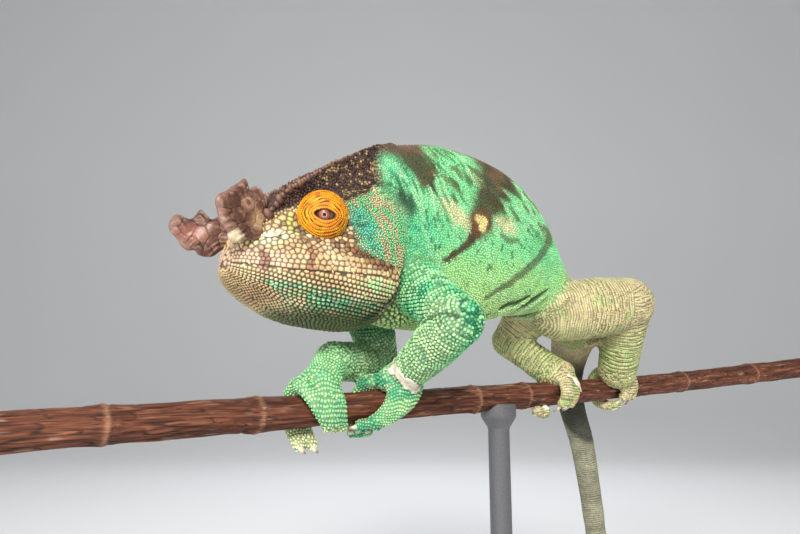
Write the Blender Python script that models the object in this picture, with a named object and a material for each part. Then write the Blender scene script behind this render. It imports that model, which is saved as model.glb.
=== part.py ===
# A life-size Parson's chameleon gripping a cut length of branch, held up by a plain display stand.
# Metres, +Z up. The model is laid out in the perch frame: X runs along the branch from the head
# towards the tail, Y from the animal's left side to its right, Z up, from the branch's centre line
# where the left hand grips it. Every object is then moved by PERCH_ORIGIN onto its stand.

import math
import random

import bmesh
import bpy
import numpy as np
from mathutils import Matrix, Vector

# Gap that touching solids keep
GAP = 0.0003

# Points of a joined foot or horn that lie closer than this become one
SEAM_MERGE = 0.00002

# Branch
BRANCH_RADIUS = 0.0055
BRANCH_START_X = -0.1300
BRANCH_END_X = 0.3100
BRANCH_RISE = 0.035
BRANCH_LIFT_FROM = 0.100
BRANCH_LIFT = 0.18
BRANCH_BEND_FROM = 0.120
BRANCH_BEND = -1.08
BRANCH_KNOTS = (-0.098, -0.052, 0.046, 0.078, 0.205, 0.262)
KNOT_SWELL = 0.07
KNOT_LENGTH = 0.004
FAR_END_X = 0.20
FAR_END_SWELL = 0.12 / 0.11

# Stand
BASE_LENGTH = 0.250
BASE_WIDTH = 0.180
BASE_THICKNESS = 0.014
BASE_CENTRE_X = 0.048
ROD_X = 0.0620
ROD_RADIUS = 0.0045
SADDLE_RADIUS = 0.0075
SADDLE_HEIGHT = 0.007
BRANCH_HEIGHT = 0.156

BRANCH_MIDDLE_X = (BRANCH_START_X + BRANCH_END_X) / 2
PERCH_ORIGIN = Vector((-BRANCH_MIDDLE_X, 0.0, BRANCH_HEIGHT))

# Trunk: each station has the top ridge (x, z), the belly (x, z) and the half width
TRUNK = (
    ((-0.0080, 0.0975), (-0.0180, 0.0345), 0.0150),
    ((0.0060, 0.1022), (-0.0050, 0.0300), 0.0176),
    ((0.0240, 0.1062), (0.0130, 0.0280), 0.0206),
    ((0.0430, 0.1066), (0.0340, 0.0300), 0.0228),
    ((0.0610, 0.1040), (0.0530, 0.0340), 0.0224),
    ((0.0750, 0.0975), (0.0685, 0.0375), 0.0202),
    ((0.0860, 0.0860), (0.0820, 0.0382), 0.0176),
    ((0.0955, 0.0715), (0.0950, 0.0345), 0.0150),
    ((0.1070, 0.0585), (0.1080, 0.0290), 0.0128),
    ((0.1200, 0.0482), (0.1195, 0.0238), 0.0110),
)
TRUNK_TOP_SHARPNESS = 1.30
TRUNK_BELLY_SHARPNESS = 0.90
NECK_END = 0.16
NECK_CUT = 0.10
TORSO_START = 0.04
TAIL_START_STATION = 0.925

# Tail: centre points down to the curl, then a flat spiral curled forward
TAIL_PATH = (
    (0.1218, 0.0000, 0.0357),
    (0.1300, 0.0095, 0.0285),
    (0.1365, 0.0172, 0.0175),
    (0.1402, 0.0202, 0.0060),
    (0.1446, 0.0206, -0.0078),
    (0.1508, 0.0206, -0.0234),
    (0.1565, 0.0206, -0.0513),
    (0.1600, 0.0206, -0.0760),
    (0.1610, 0.0206, -0.0960),
)
TAIL_HALF_WIDTHS = (0.0106, 0.0092, 0.0080, 0.0071, 0.0066, 0.0063, 0.0058, 0.0053, 0.0050)
TAIL_HALF_HEIGHTS = (0.0126, 0.0106, 0.0088, 0.0076, 0.0068, 0.0064, 0.0058, 0.0053, 0.0050)
CURL_RADIUS_START = 0.0210
CURL_RADIUS_END = 0.0068
CURL_TURNS = 1.40
CURL_TIP_RADIUS = 0.0015
TAIL_CUTS = (4, 10, 18, 26)

# Head: stations along the skull, from the snout tip to the back of the casque
HEAD_STATIONS = (-0.0650, -0.0638, -0.0606, -0.0565, -0.0518, -0.0440, -0.0340, -0.0180, -0.0060)
HEAD_TOP_Z = (0.0470, 0.0500, 0.0545, 0.0598, 0.0662, 0.0716, 0.0796, 0.0920, 0.1012)
CREST_Y = (0.0028, 0.0058, 0.0092, 0.0116, 0.0132, 0.0140, 0.0126, 0.0080, 0.0022)
CREST_Z = (0.0468, 0.0500, 0.0550, 0.0612, 0.0688, 0.0752, 0.0835, 0.0944, 0.1026)
HOLLOW = (0.0, 0.0002, 0.0006, 0.0012, 0.0018, 0.0024, 0.0034, 0.0030, 0.0012)
CHEEK_Y = (0.0034, 0.0070, 0.0106, 0.0128, 0.0142, 0.0152, 0.0176, 0.0202, 0.0192)
CHEEK_Z = (0.0462, 0.0485, 0.0508, 0.0530, 0.0560, 0.0585, 0.0600, 0.0620, 0.0640)
LIP_Y = (0.0036, 0.0080, 0.0124, 0.0164, 0.0192, 0.0219, 0.0233, 0.0234, 0.0214)
LIP_Z = (0.0450, 0.0445, 0.0437, 0.0430, 0.0424, 0.0422, 0.0426, 0.0430, 0.0438)
JAW_Y = (0.0030, 0.0064, 0.0102, 0.0138, 0.0168, 0.0196, 0.0210, 0.0206, 0.0184)
JAW_Z = (0.0440, 0.0421, 0.0400, 0.0382, 0.0367, 0.0354, 0.0346, 0.0344, 0.0350)
THROAT_Z = (0.0437, 0.0418, 0.0389, 0.0360, 0.0329, 0.0293, 0.0268, 0.0258, 0.0268)
SNOUT_END_X = -0.058
HEAD_TILT_AT_BACK = 0.20
HEAD_TILT_HEIGHT = 0.060
MOUTH_CORNER_X = -0.0165
LIP_GROOVE = 0.0009
LIP_OVERHANG = 0.0005
NOSTRIL = (-0.0603, 0.0118, 0.0492)
NOSTRIL_RADIUS = 0.0012
HEAD_CUT_POINT = (-0.0098, 0.0, 0.0680)
HEAD_CUT_NORMAL = (0.98, 0.0, -0.20)

# Eye turrets
TURRET_CENTRE = (-0.0395, 0.0165, 0.0621)
TURRET_RADIUS = 0.0082
TURRET_LOOKS = {"left": (-0.42, 0.86, -0.18), "right": (-0.10, 1.0, -0.05)}
TURRET_RINGS = 3
TURRET_FOLD = 0.00016
TURRET_WELL = 0.62 * TURRET_RADIUS
EYE_RADIUS = 0.0029
EYE_HEIGHT = 0.0014
EYE_PROUD = 0.0009

# Rostral horns: a paddle of the given length and height whose rim carries blunt plates
HORN_ROOT = (-0.0575, 0.0092, 0.0568)
HORN_SPREAD = 0.30
HORN_LENGTHS = {"left": 0.0178, "right": 0.0190}
HORN_HEIGHTS = {"left": 0.0098, "right": 0.0074}
HORN_LIFTS = {"left": 0.26, "right": 0.02}
HORN_THICKNESS = 0.0030
HORN_PLATE = (0.0030, 0.0025, 0.0036)
HORN_RIM_PLATES = 7
HORN_FACE_PLATES = 2

# Limbs: joint centres, then the radius at the root, along the upper part and along the lower part
LIMBS = {
    "arm_left": {
        "root": (0.0058, -0.0115, 0.0430),
        "bend": (-0.0020, -0.0412, 0.0280),
        "end": (0.0036, -0.0098, 0.0125),
        "radii": (0.0108, 0.0090, 0.0078, 0.0083, 0.0082, 0.0069),
    },
    "arm_right": {
        "root": (-0.0010, 0.0115, 0.0420),
        "bend": (0.0180, 0.0260, 0.0165),
        "end": (-0.0200, 0.0050, 0.0158),
        "radii": (0.0112, 0.0090, 0.0078, 0.0082, 0.0076, 0.0070),
    },
    "leg_left": {
        "root": (0.0965, -0.0085, 0.0405),
        "bend": (0.1268, -0.0250, 0.0453),
        "end": (0.1418, -0.0085, 0.0150),
        "radii": (0.0136, 0.0144, 0.0126, 0.0118, 0.0101, 0.0098),
    },
    "leg_right": {
        "root": (0.0985, 0.0085, 0.0430),
        "bend": (0.0950, 0.0215, 0.0290),
        "end": (0.1015, 0.0005, 0.0130),
        "radii": (0.0128, 0.0104, 0.0082, 0.0084, 0.0078, 0.0080),
    },
}

# Feet: where the palm sits along the branch, and the two bundles of toes that wrap it. Each bundle
# has its number of toes, then pairs for its root and tip: x, the angle round the branch and the
# width. The angle is 90 at the top of the branch and 180 on the side of the animal's left. The last
# value is how far its tips stand off the branch
FEET = {
    "hand_left": {
        "palm_x": 0.0020,
        "palm_angle": 112.0,
        "front": (2, (0.0060, -0.0130), (112.0, 226.0), (0.0185, 0.0125), 0.0),
        "back": (3, (-0.0010, -0.0130), (78.0, -100.0), (0.0150, 0.0105), 0.0),
    },
    "hand_right": {
        "palm_x": -0.0290,
        "palm_angle": 100.0,
        "front": (3, (-0.0325, -0.0255), (112.0, 222.0), (0.0185, 0.0090), 0.0),
        "back": (2, (-0.0320, -0.0325), (76.0, -84.0), (0.0130, 0.0095), 0.0035),
    },
    "foot_left": {
        "palm_x": 0.1480,
        "palm_angle": 106.0,
        "front": (3, (0.1508, 0.1498), (114.0, 212.0), (0.0160, 0.0115), 0.0),
        "back": (2, (0.1450, 0.1462), (74.0, -118.0), (0.0105, 0.0085), 0.0),
    },
    "foot_right": {
        "palm_x": 0.1040,
        "palm_angle": 100.0,
        "front": (2, (0.1030, 0.1005), (112.0, 214.0), (0.0150, 0.0115), 0.0),
        "back": (3, (0.1085, 0.0820), (74.0, -128.0), (0.0135, 0.0095), 0.0),
    },
}
TOE_ROOT_HEIGHT = 0.0034
TOE_TIP_HEIGHT = 0.0025
TOE_GROOVE = 0.24
TOE_UNDERSIDE = -0.88
TOE_LENGTH = 0.88
CLAW_HOOK = 0.22
CLAW_LENGTH = 0.0042
CLAW_RADIUS = 0.0010
PALM_RADII = (0.0078, 0.0066, 0.0056)

# Finish of each sort of piece: colour, roughness, metallic
FINISHES = {
    "skin_green": ((0.24, 0.66, 0.36), 0.55, 0.0),
    "skin_head": ((0.62, 0.56, 0.34), 0.55, 0.0),
    "turret_orange": ((0.86, 0.42, 0.03), 0.5, 0.0),
    "eye_dark": ((0.16, 0.05, 0.04), 0.1, 0.0),
    "horn_brown": ((0.30, 0.15, 0.11), 0.35, 0.0),
    "bark": ((0.30, 0.12, 0.07), 0.8, 0.0),
    "stand_metal": ((0.10, 0.10, 0.11), 0.4, 1.0),
    "stand_base": ((0.16, 0.14, 0.12), 0.5, 0.0),
}


def clear_scene():
    for obj in list(bpy.data.objects):
        bpy.data.objects.remove(obj)


def material(name):
    found = bpy.data.materials.get(name)
    if found:
        return found
    colour, roughness, metallic = FINISHES[name]
    made = bpy.data.materials.new(name)
    made.use_nodes = True
    shader = made.node_tree.nodes["Principled BSDF"]
    shader.inputs["Base Color"].default_value = (*colour, 1.0)
    shader.inputs["Roughness"].default_value = roughness
    shader.inputs["Metallic"].default_value = metallic
    return made


def smooth_at(rows, place):
    """One row of a Catmull-Rom curve through the rows, at a fractional row number."""
    rows = np.asarray(rows, float)
    last = len(rows) - 1
    place = min(max(place, 0.0), float(last))
    i = min(int(place), last - 1)
    t = place - i
    before = rows[i - 1] if i > 0 else 2 * rows[0] - rows[1]
    after = rows[i + 2] if i + 2 <= last else 2 * rows[last] - rows[last - 1]
    a, b = rows[i], rows[i + 1]
    return 0.5 * (
        2 * a
        + (b - before) * t
        + (2 * before - 5 * a + 4 * b - after) * t * t
        + (3 * a - before - 3 * b + after) * t**3
    )


def mesh_from_rings(rings, grow=0.0):
    """A closed mesh through rings of the same number of points, with a fan over each end."""
    mesh = bmesh.new()
    loops = [[mesh.verts.new(point) for point in ring] for ring in rings]
    count = len(loops[0])
    for near, far in zip(loops[:-1], loops[1:]):
        for i in range(count):
            j = (i + 1) % count
            mesh.faces.new((near[i], near[j], far[j], far[i]))
    for loop, step in ((loops[0], -1), (loops[-1], 1)):
        middle = mesh.verts.new(sum((v.co for v in loop), Vector()) / count)
        for i in range(count):
            j = (i + 1) % count
            mesh.faces.new((loop[i], loop[j], middle)[::step])
    bmesh.ops.triangulate(mesh, faces=mesh.faces[:])
    bmesh.ops.recalc_face_normals(mesh, faces=mesh.faces[:])
    return grown(mesh, grow)


def grown(mesh, amount):
    """Moves every face of a closed mesh outwards by about the amount."""
    if amount:
        mesh.normal_update()
        moves = [v.normal * (amount * min(v.calc_shell_factor(), 1.6)) for v in mesh.verts]
        for vertex, move in zip(mesh.verts, moves):
            vertex.co += move
    return mesh


def add_object(name, mesh, finish):
    """An object from a bmesh, in the perch frame."""
    data = bpy.data.meshes.new(name)
    mesh.to_mesh(data)
    mesh.free()
    data.shade_smooth()
    data.set_sharp_from_angle(angle=math.radians(50))
    obj = bpy.data.objects.new(name, data)
    data.materials.append(material(finish))
    bpy.context.scene.collection.objects.link(obj)
    return obj


def frames_along(points, up):
    """For each point of a path, the side and lift directions of a section across it."""
    points = [Vector(p) for p in points]
    made = []
    side = None
    for i, _ in enumerate(points):
        ahead = (points[min(i + 1, len(points) - 1)] - points[max(i - 1, 0)]).normalized()
        if side is None:
            side = ahead.cross(Vector(up)).normalized()
        side = (side - ahead * side.dot(ahead)).normalized()
        made.append((side.copy(), side.cross(ahead).normalized()))
    return made


def tube_rings(points, half_widths, half_heights, around, up=(0, 0, 1), round_ends=(True, True)):
    """Rings of an oval tube along a path, drawn in to a blunt tip at each rounded end."""
    points = [Vector(p) for p in points]
    frames = frames_along(points, up)
    rings = []
    for point, (side, lift), w, h in zip(points, frames, half_widths, half_heights):
        rings.append(
            [
                point + side * (w * math.cos(a)) + lift * (h * math.sin(a))
                for a in (2 * math.pi * k / around for k in range(around))
            ]
        )
    for end in (0, -1):
        if not round_ends[end]:
            continue
        middle = points[end]
        inner = points[1] if end == 0 else points[-2]
        out = (middle - inner).normalized()
        reach = min(half_widths[end], half_heights[end])
        caps = [
            [
                middle + (p - middle) * math.cos(lean) + out * (reach * math.sin(lean))
                for p in rings[end]
            ]
            for lean in (math.radians(35), math.radians(65))
        ]
        rings = caps[::-1] + rings if end == 0 else rings + caps
    return rings


def boolean(obj, operation, cutters, merge=1e-6):
    """Applies one Boolean to obj with a collection of closed meshes, and removes them."""
    group = bpy.data.collections.new("cutters")
    for cutter in cutters:
        bpy.context.scene.collection.objects.unlink(cutter)
        group.objects.link(cutter)
    bpy.context.scene.collection.children.link(group)
    modifier = obj.modifiers.new("join", "BOOLEAN")
    modifier.operation = operation
    modifier.operand_type = "COLLECTION"
    modifier.collection = group
    modifier.solver = "EXACT"
    graph = bpy.context.evaluated_depsgraph_get()
    made = bpy.data.meshes.new_from_object(obj.evaluated_get(graph))
    obj.modifiers.remove(modifier)
    old = obj.data
    obj.data = made
    bpy.data.meshes.remove(old)
    for cutter in cutters:
        bpy.data.objects.remove(cutter)
    bpy.data.collections.remove(group)
    keep_largest(obj, merge)
    return obj


def keep_largest(obj, merge):
    """Keeps only the largest closed surface of an object, in triangles."""
    mesh = bmesh.new()
    mesh.from_mesh(obj.data)
    bmesh.ops.remove_doubles(mesh, verts=mesh.verts[:], dist=merge)
    bmesh.ops.triangulate(mesh, faces=mesh.faces[:])
    left = set(mesh.faces)
    islands = []
    while left:
        stack = [left.pop()]
        island = []
        while stack:
            face = stack.pop()
            island.append(face)
            for edge in face.edges:
                for other in edge.link_faces:
                    if other in left:
                        left.remove(other)
                        stack.append(other)
        islands.append(island)
    islands.sort(key=lambda faces: sum(f.calc_area() for f in faces), reverse=True)
    for island in islands[1:]:
        bmesh.ops.delete(mesh, geom=island, context="FACES")
    loose = [v for v in mesh.verts if not v.link_faces]
    bmesh.ops.delete(mesh, geom=loose, context="VERTS")
    mesh.to_mesh(obj.data)
    mesh.free()
    obj.data.shade_smooth()
    obj.data.set_sharp_from_angle(angle=math.radians(50))


def half_space(point, normal, size=0.6):
    """A big block that fills the side of a plane to which its normal points."""
    mesh = bmesh.new()
    bmesh.ops.create_cube(mesh, size=size)
    bmesh.ops.translate(mesh, verts=mesh.verts[:], vec=(0, 0, size / 2))
    turn = Vector((0, 0, 1)).rotation_difference(Vector(normal).normalized()).to_matrix()
    bmesh.ops.transform(mesh, matrix=Matrix.Translation(point) @ turn.to_4x4(), verts=mesh.verts[:])
    return add_object("block", mesh, "bark")


def trim(obj, point, normal):
    """Cuts away what lies on the side of the plane to which the normal points."""
    return boolean(obj, "DIFFERENCE", [half_space(Vector(point), Vector(normal))])


def ball(centre, radii, turn=None, segments=12, rings=8):
    """A closed ellipsoid mesh."""
    mesh = bmesh.new()
    bmesh.ops.create_uvsphere(mesh, u_segments=segments, v_segments=rings, radius=1.0)
    shape = Matrix.Diagonal((*radii, 1.0))
    place = Matrix.Translation(centre) @ (turn.to_4x4() if turn else Matrix.Identity(4)) @ shape
    bmesh.ops.transform(mesh, matrix=place, verts=mesh.verts[:])
    bmesh.ops.triangulate(mesh, faces=mesh.faces[:])
    bmesh.ops.recalc_face_normals(mesh, faces=mesh.faces[:])
    return mesh


# Branch

def branch_centre(x):
    """Centre of the branch at x: it rises slowly and bends towards the animal's left at its end."""
    lift = BRANCH_LIFT * max(0.0, x - BRANCH_LIFT_FROM) ** 2
    bend = BRANCH_BEND * max(0.0, x - BRANCH_BEND_FROM) ** 2
    return Vector((x, bend, BRANCH_RISE * x + lift))


def branch_radius(x):
    """Radius of the branch at x, with low swellings at its knots and a thicker far end."""
    swell = sum(KNOT_SWELL * math.exp(-(((x - k) / KNOT_LENGTH) ** 2)) for k in BRANCH_KNOTS)
    return BRANCH_RADIUS * (1 + swell + FAR_END_SWELL * max(0.0, x - FAR_END_X))


def branch_rings(count=27, around=12):
    xs = np.linspace(BRANCH_START_X, BRANCH_END_X, count)
    points = [branch_centre(x) for x in xs]
    radii = [branch_radius(x) for x in xs]
    return tube_rings(points, radii, radii, around, round_ends=(False, False))


def branch_cutter():
    return add_object("grown_branch", mesh_from_rings(branch_rings(), GAP), "bark")


def round_branch(x, angle, distance):
    """A point at a distance from the branch's centre line, at an angle round it."""
    turn = math.radians(angle)
    return branch_centre(x) + Vector((0, math.cos(turn), math.sin(turn))) * distance


# Trunk, neck and tail

def trunk_section(place, around=24):
    """One ring of the trunk at a place from 0 (neck) to 1 (tail)."""
    rows = [(*top, *belly, width) for top, belly, width in TRUNK]
    tx, tz, bx, bz, width = smooth_at(rows, place * (len(rows) - 1))
    top, belly = Vector((tx, 0, tz)), Vector((bx, 0, bz))
    middle, half = (top + belly) / 2, (top - belly) / 2
    ring = []
    for k in range(around):
        a = 2 * math.pi * k / around
        c, s = math.cos(a), math.sin(a)
        power = TRUNK_TOP_SHARPNESS if c > 0 else TRUNK_BELLY_SHARPNESS
        y = math.copysign(abs(s) ** power, s) * width
        ring.append(middle + half * c + Vector((0, y, 0)))
    return ring


def trunk_rings(start, end, count):
    return [trunk_section(place) for place in np.linspace(start, end, count)]


def tail_rows():
    """The tail's centre line with its half widths and heights, from the hips to the tip."""
    rows = [(*p, w, h) for p, w, h in zip(TAIL_PATH, TAIL_HALF_WIDTHS, TAIL_HALF_HEIGHTS)]
    start = Vector(TAIL_PATH[-1])
    steps = 22
    for k in range(1, steps + 1):
        share = k / steps
        angle = 2 * math.pi * CURL_TURNS * share
        radius = CURL_RADIUS_START + (CURL_RADIUS_END - CURL_RADIUS_START) * share**0.8
        thick = TAIL_HALF_WIDTHS[-1] + (CURL_TIP_RADIUS - TAIL_HALF_WIDTHS[-1]) * share**0.85
        centre_x = start.x - CURL_RADIUS_START
        rows.append(
            (
                centre_x + radius * math.cos(angle),
                start.y,
                start.z - radius * math.sin(angle),
                thick,
                thick,
            )
        )
    return rows


def tail_rings(around=10):
    rows = np.array(tail_rows())
    path = len(TAIL_PATH) - 1
    places = [*np.linspace(0, path, 11), *np.linspace(path, len(rows) - 1, 26)[1:]]
    rows = [smooth_at(rows, place) for place in places]
    points = [Vector(row[:3]) for row in rows]
    widths = [row[3] for row in rows]
    heights = [row[4] for row in rows]
    return tube_rings(points, widths, heights, around, up=(0, 1, 0), round_ends=(False, True))


def tail_cutter():
    return add_object("grown_tail", mesh_from_rings(tail_rings()[:12], GAP), "skin_green")


# Head

def head_values(x):
    """The head's driving curves at x, as one row."""
    stations = np.array(HEAD_STATIONS)
    place = float(np.interp(x, stations, np.arange(len(stations))))
    upper = (HEAD_TOP_Z, CREST_Y, CREST_Z, HOLLOW, CHEEK_Y, CHEEK_Z)
    lower = (LIP_Y, LIP_Z, JAW_Y, JAW_Z, THROAT_Z)
    return smooth_at(np.array(upper + lower).T, place)


def head_half_section(x):
    """Control points of the left or right half of the head's section, from top to throat."""
    top, crest_y, crest_z, hollow, cheek_y, cheek_z, lip_y, lip_z, jaw_y, jaw_z, throat = head_values(x)
    upper = lip_z + 0.35 * (cheek_z - lip_z)
    return (
        (0.0, top),
        (crest_y * 0.55, top + 0.25 * (crest_z - top)),
        (crest_y, crest_z),
        (crest_y + 0.45 * (cheek_y - crest_y) - hollow, crest_z + 0.42 * (cheek_z - crest_z)),
        (cheek_y, cheek_z),
        (lip_y * 0.985, upper),
        (lip_y, lip_z),
        (lip_y * 0.5 + jaw_y * 0.5 + 0.0008, 0.5 * (lip_z + jaw_z)),
        (jaw_y, jaw_z),
        (jaw_y * 0.62, throat + 0.30 * (jaw_z - throat)),
        (0.0, throat),
    )


HEAD_COLUMNS = (0, 0.6, 1.4, 2.0, 2.6, 3.4, 4.2, 4.9, 5.55, 5.82, 6.0, 6.18, 6.5, 7.1, 8.0, 8.8, 9.4, 10.0)
MOUTH_COLUMN = HEAD_COLUMNS.index(6.0)


def head_ring(x):
    """One closed ring of the head. The mouth is a groove along one column on each side."""
    controls = head_half_section(x)
    back = max(0.0, (x - HEAD_STATIONS[0]) / (HEAD_STATIONS[-1] - HEAD_STATIONS[0]))
    tilt = HEAD_TILT_AT_BACK * back**1.5
    half = []
    for i, column in enumerate(HEAD_COLUMNS):
        y, z = smooth_at(controls, column)
        if x < MOUTH_CORNER_X:
            y += {-1: LIP_OVERHANG, 0: -LIP_GROOVE}.get(i - MOUTH_COLUMN, 0.0)
        half.append((max(y, 0.0), z))
    points = half + [(-y, z) for y, z in half[-2:0:-1]]
    return [Vector((x + tilt * (z - HEAD_TILT_HEIGHT), y, z)) for y, z in points]


def head_rings():
    front = np.linspace(HEAD_STATIONS[0], SNOUT_END_X, 5)
    return [head_ring(x) for x in (*front, *np.linspace(SNOUT_END_X, HEAD_STATIONS[-1], 14)[1:])]


def head_cutter():
    return add_object("grown_head", mesh_from_rings(head_rings(), GAP), "skin_head")


def turret_frame(side):
    """Centre of an eye turret and the turn that takes +Z to its look direction."""
    sign = -1 if side == "left" else 1
    centre = Vector((TURRET_CENTRE[0], sign * TURRET_CENTRE[1], TURRET_CENTRE[2]))
    ahead, out, up = TURRET_LOOKS[side]
    look = Vector((ahead, sign * out, up)).normalized()
    return centre, look, Vector((0, 0, 1)).rotation_difference(look).to_matrix()


def turned_mesh(profile, around):
    """A closed turned shape from (radius, height) pairs, both ends on the axis."""
    rings = [
        [
            Vector((r * math.cos(a), r * math.sin(a), h))
            for a in (2 * math.pi * k / around for k in range(around))
        ]
        for r, h in profile
    ]
    return mesh_from_rings(rings)


def make_turret(side):
    """The cone of fused lids, ringed by low folds, with a hole at its tip for the eye."""
    centre, _, turn = turret_frame(side)
    hole = EYE_RADIUS + GAP
    profile = [(0.003, -TURRET_RADIUS * 0.55), (TURRET_RADIUS * 0.86, -TURRET_RADIUS * 0.45)]
    steps = 10
    for k in range(steps):
        lean = math.radians(-4 + (90 - 24) * k / (steps - 1))
        fold = TURRET_FOLD * math.cos(2 * math.pi * TURRET_RINGS * k / (steps - 1))
        reach = TURRET_RADIUS + fold
        profile.append((reach * math.cos(lean), reach * math.sin(lean) * 0.98))
    profile.append((hole, TURRET_RADIUS * 0.90))
    profile.append((hole * 0.97, TURRET_WELL))
    mesh = turned_mesh(profile, 16)
    bmesh.ops.transform(mesh, matrix=Matrix.Translation(centre) @ turn.to_4x4(), verts=mesh.verts[:])
    return add_object(f"eye_turret_{side}", mesh, "turret_orange")


def make_eye(side):
    """The small part of the eyeball that shows in the turret's opening."""
    centre, look, turn = turret_frame(side)
    height = TURRET_WELL + GAP + EYE_PROUD
    mesh = ball(centre + look * height, (EYE_RADIUS * 0.94, EYE_RADIUS * 0.94, EYE_HEIGHT), turn, 10, 6)
    trimmed = add_object(f"eye_{side}", mesh, "eye_dark")
    return trim(trimmed, centre + look * (TURRET_WELL + GAP), -look)


def make_head():
    head = add_object("head", mesh_from_rings(head_rings()), "skin_head")
    trim(head, HEAD_CUT_POINT, HEAD_CUT_NORMAL)
    sockets = []
    for side in ("left", "right"):
        centre, look, _ = turret_frame(side)
        reach = TURRET_RADIUS + 0.0002 + GAP
        sockets.append(add_object("socket", ball(centre, (reach,) * 3, None, 18, 12), "skin_head"))
        sign = -1 if side == "left" else 1
        nostril = Vector((NOSTRIL[0], sign * NOSTRIL[1], NOSTRIL[2]))
        pit = ball(nostril, (NOSTRIL_RADIUS * 1.4, NOSTRIL_RADIUS, NOSTRIL_RADIUS), None, 8, 6)
        sockets.append(add_object("nostril", pit, "skin_head"))
    boolean(head, "DIFFERENCE", sockets)
    return head


def horn_pieces(side):
    """The horn's core and plates as closed meshes, their root sunk in the snout."""
    sign = -1 if side == "left" else 1
    random.seed(11 if side == "left" else 12)
    root = Vector((HORN_ROOT[0], sign * HORN_ROOT[1], HORN_ROOT[2]))
    ahead = Vector((-1, sign * HORN_SPREAD, HORN_LIFTS[side])).normalized()
    across = ahead.cross(Vector((0, 0, 1))).normalized()
    lift = across.cross(ahead).normalized()
    turn = Matrix((ahead, across, lift)).transposed()
    length, height = HORN_LENGTHS[side], HORN_HEIGHTS[side]
    middle = root + ahead * (length * 0.42)
    core = ball(middle, (length * 0.62, HORN_THICKNESS, height * 0.86), turn, 10, 6)
    pieces = [core]
    for k in range(HORN_RIM_PLATES):
        lean = math.radians(-118 + 236 * k / (HORN_RIM_PLATES - 1))
        out = ahead * (math.cos(lean) * length * 0.50) + lift * (math.sin(lean) * height * 0.80)
        size = random.uniform(0.85, 1.2)
        spin = Matrix.Rotation(-lean, 3, "Y")
        radii = (HORN_PLATE[0] * size, HORN_PLATE[1] * size, HORN_PLATE[2] * size)
        pieces.append(ball(middle + out, radii, turn @ spin, 7, 5))
    for face in (-1, 1):
        for k in range(HORN_FACE_PLATES):
            along = (k + 0.5) / HORN_FACE_PLATES
            spot = root + ahead * (length * (0.20 + 0.60 * along))
            spot += across * (face * HORN_THICKNESS * 0.75)
            spot += lift * (height * random.uniform(-0.35, 0.35))
            pieces.append(ball(spot, (0.0032, 0.0018, 0.0028), turn, 6, 4))
    return pieces


def make_horn(side):
    meshes = horn_pieces(side)
    horn = add_object(f"horn_{side}", meshes[0], "horn_brown")
    plates = [add_object("plate", mesh, "horn_brown") for mesh in meshes[1:]]
    boolean(horn, "UNION", plates, SEAM_MERGE)
    return boolean(horn, "DIFFERENCE", [head_cutter()], SEAM_MERGE)


# Limbs and feet

def limb_rings(limb, part, around=10):
    """Rings of the upper or lower part of a limb, thickest at its muscles."""
    values = LIMBS[limb]
    root, bend, end = (Vector(values[k]) for k in ("root", "bend", "end"))
    radii = values["radii"]
    if part == "upper":
        start, finish, sizes = root, bend, radii[:3]
    else:
        start, finish, sizes = bend, end, radii[3:]
    shares = np.linspace(0, 1, 4)
    points = [start.lerp(finish, s) for s in shares]
    widths = [float(np.interp(s, (0, 0.5, 1), sizes)) for s in shares]
    return tube_rings(points, widths, widths, around, up=(0.1, 0.2, 1))


def limb_part(name, limb, part, grow=0.0):
    return add_object(name, mesh_from_rings(limb_rings(limb, part), grow), "skin_green")


def torso_cutter():
    rings = trunk_rings(0.0, TAIL_START_STATION, 22)
    return add_object("grown_torso", mesh_from_rings(rings, GAP), "skin_green")


def make_limb(limb):
    """The upper part meets the torso's side, and the lower part the end of the upper."""
    upper = limb_part(f"{limb}_upper", limb, "upper")
    beside = tail_cutter if limb.startswith("leg") else head_cutter
    cutters = [torso_cutter(), beside()]
    if limb == "leg_right":
        cutters.append(limb_part("grown_other", "leg_left", "upper", GAP))
    boolean(upper, "DIFFERENCE", cutters)
    lower = limb_part(f"{limb}_lower", limb, "lower")
    cutters = [limb_part("grown_upper", limb, "upper", GAP), torso_cutter(), branch_cutter(), beside()]
    boolean(lower, "DIFFERENCE", cutters)
    return upper, lower


def bundle_place(values, t):
    """Middle of a bundle of toes at t, its outward direction and its half width and height."""
    _, xs, angles, widths, lift = values
    x = xs[0] + (xs[1] - xs[0]) * t**1.4
    angle = angles[0] + (angles[1] - angles[0]) * (1 - (1 - t) ** 1.4)
    width = widths[0] + (widths[1] - widths[0]) * t
    height = TOE_ROOT_HEIGHT + (TOE_TIP_HEIGHT - TOE_ROOT_HEIGHT) * t
    spot = round_branch(x, angle, branch_radius(x) + GAP + height * 0.97 + lift * t**3)
    return spot, (spot - branch_centre(x)).normalized(), width / 2, height


def bundle_rings(values, steps=6, around=14):
    """A bundle of toes fused side by side, with a groove between each two on its outer face."""
    toes = values[0]
    rings = []
    for k in range(steps):
        spot, out, width, height = bundle_place(values, TOE_LENGTH * k / (steps - 1))
        ring = []
        for i in range(around):
            a = 2 * math.pi * i / around
            across, lift = math.cos(a), math.sin(a)
            groove = 0.5 + 0.5 * math.cos(math.pi * toes * (across + 1))
            if lift > 0:
                lift *= 1 - TOE_GROOVE * groove
            lift = max(lift, TOE_UNDERSIDE)
            ring.append(spot + Vector((across * width, 0, 0)) + out * (lift * height))
        rings.append(ring)
    return rings


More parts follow.
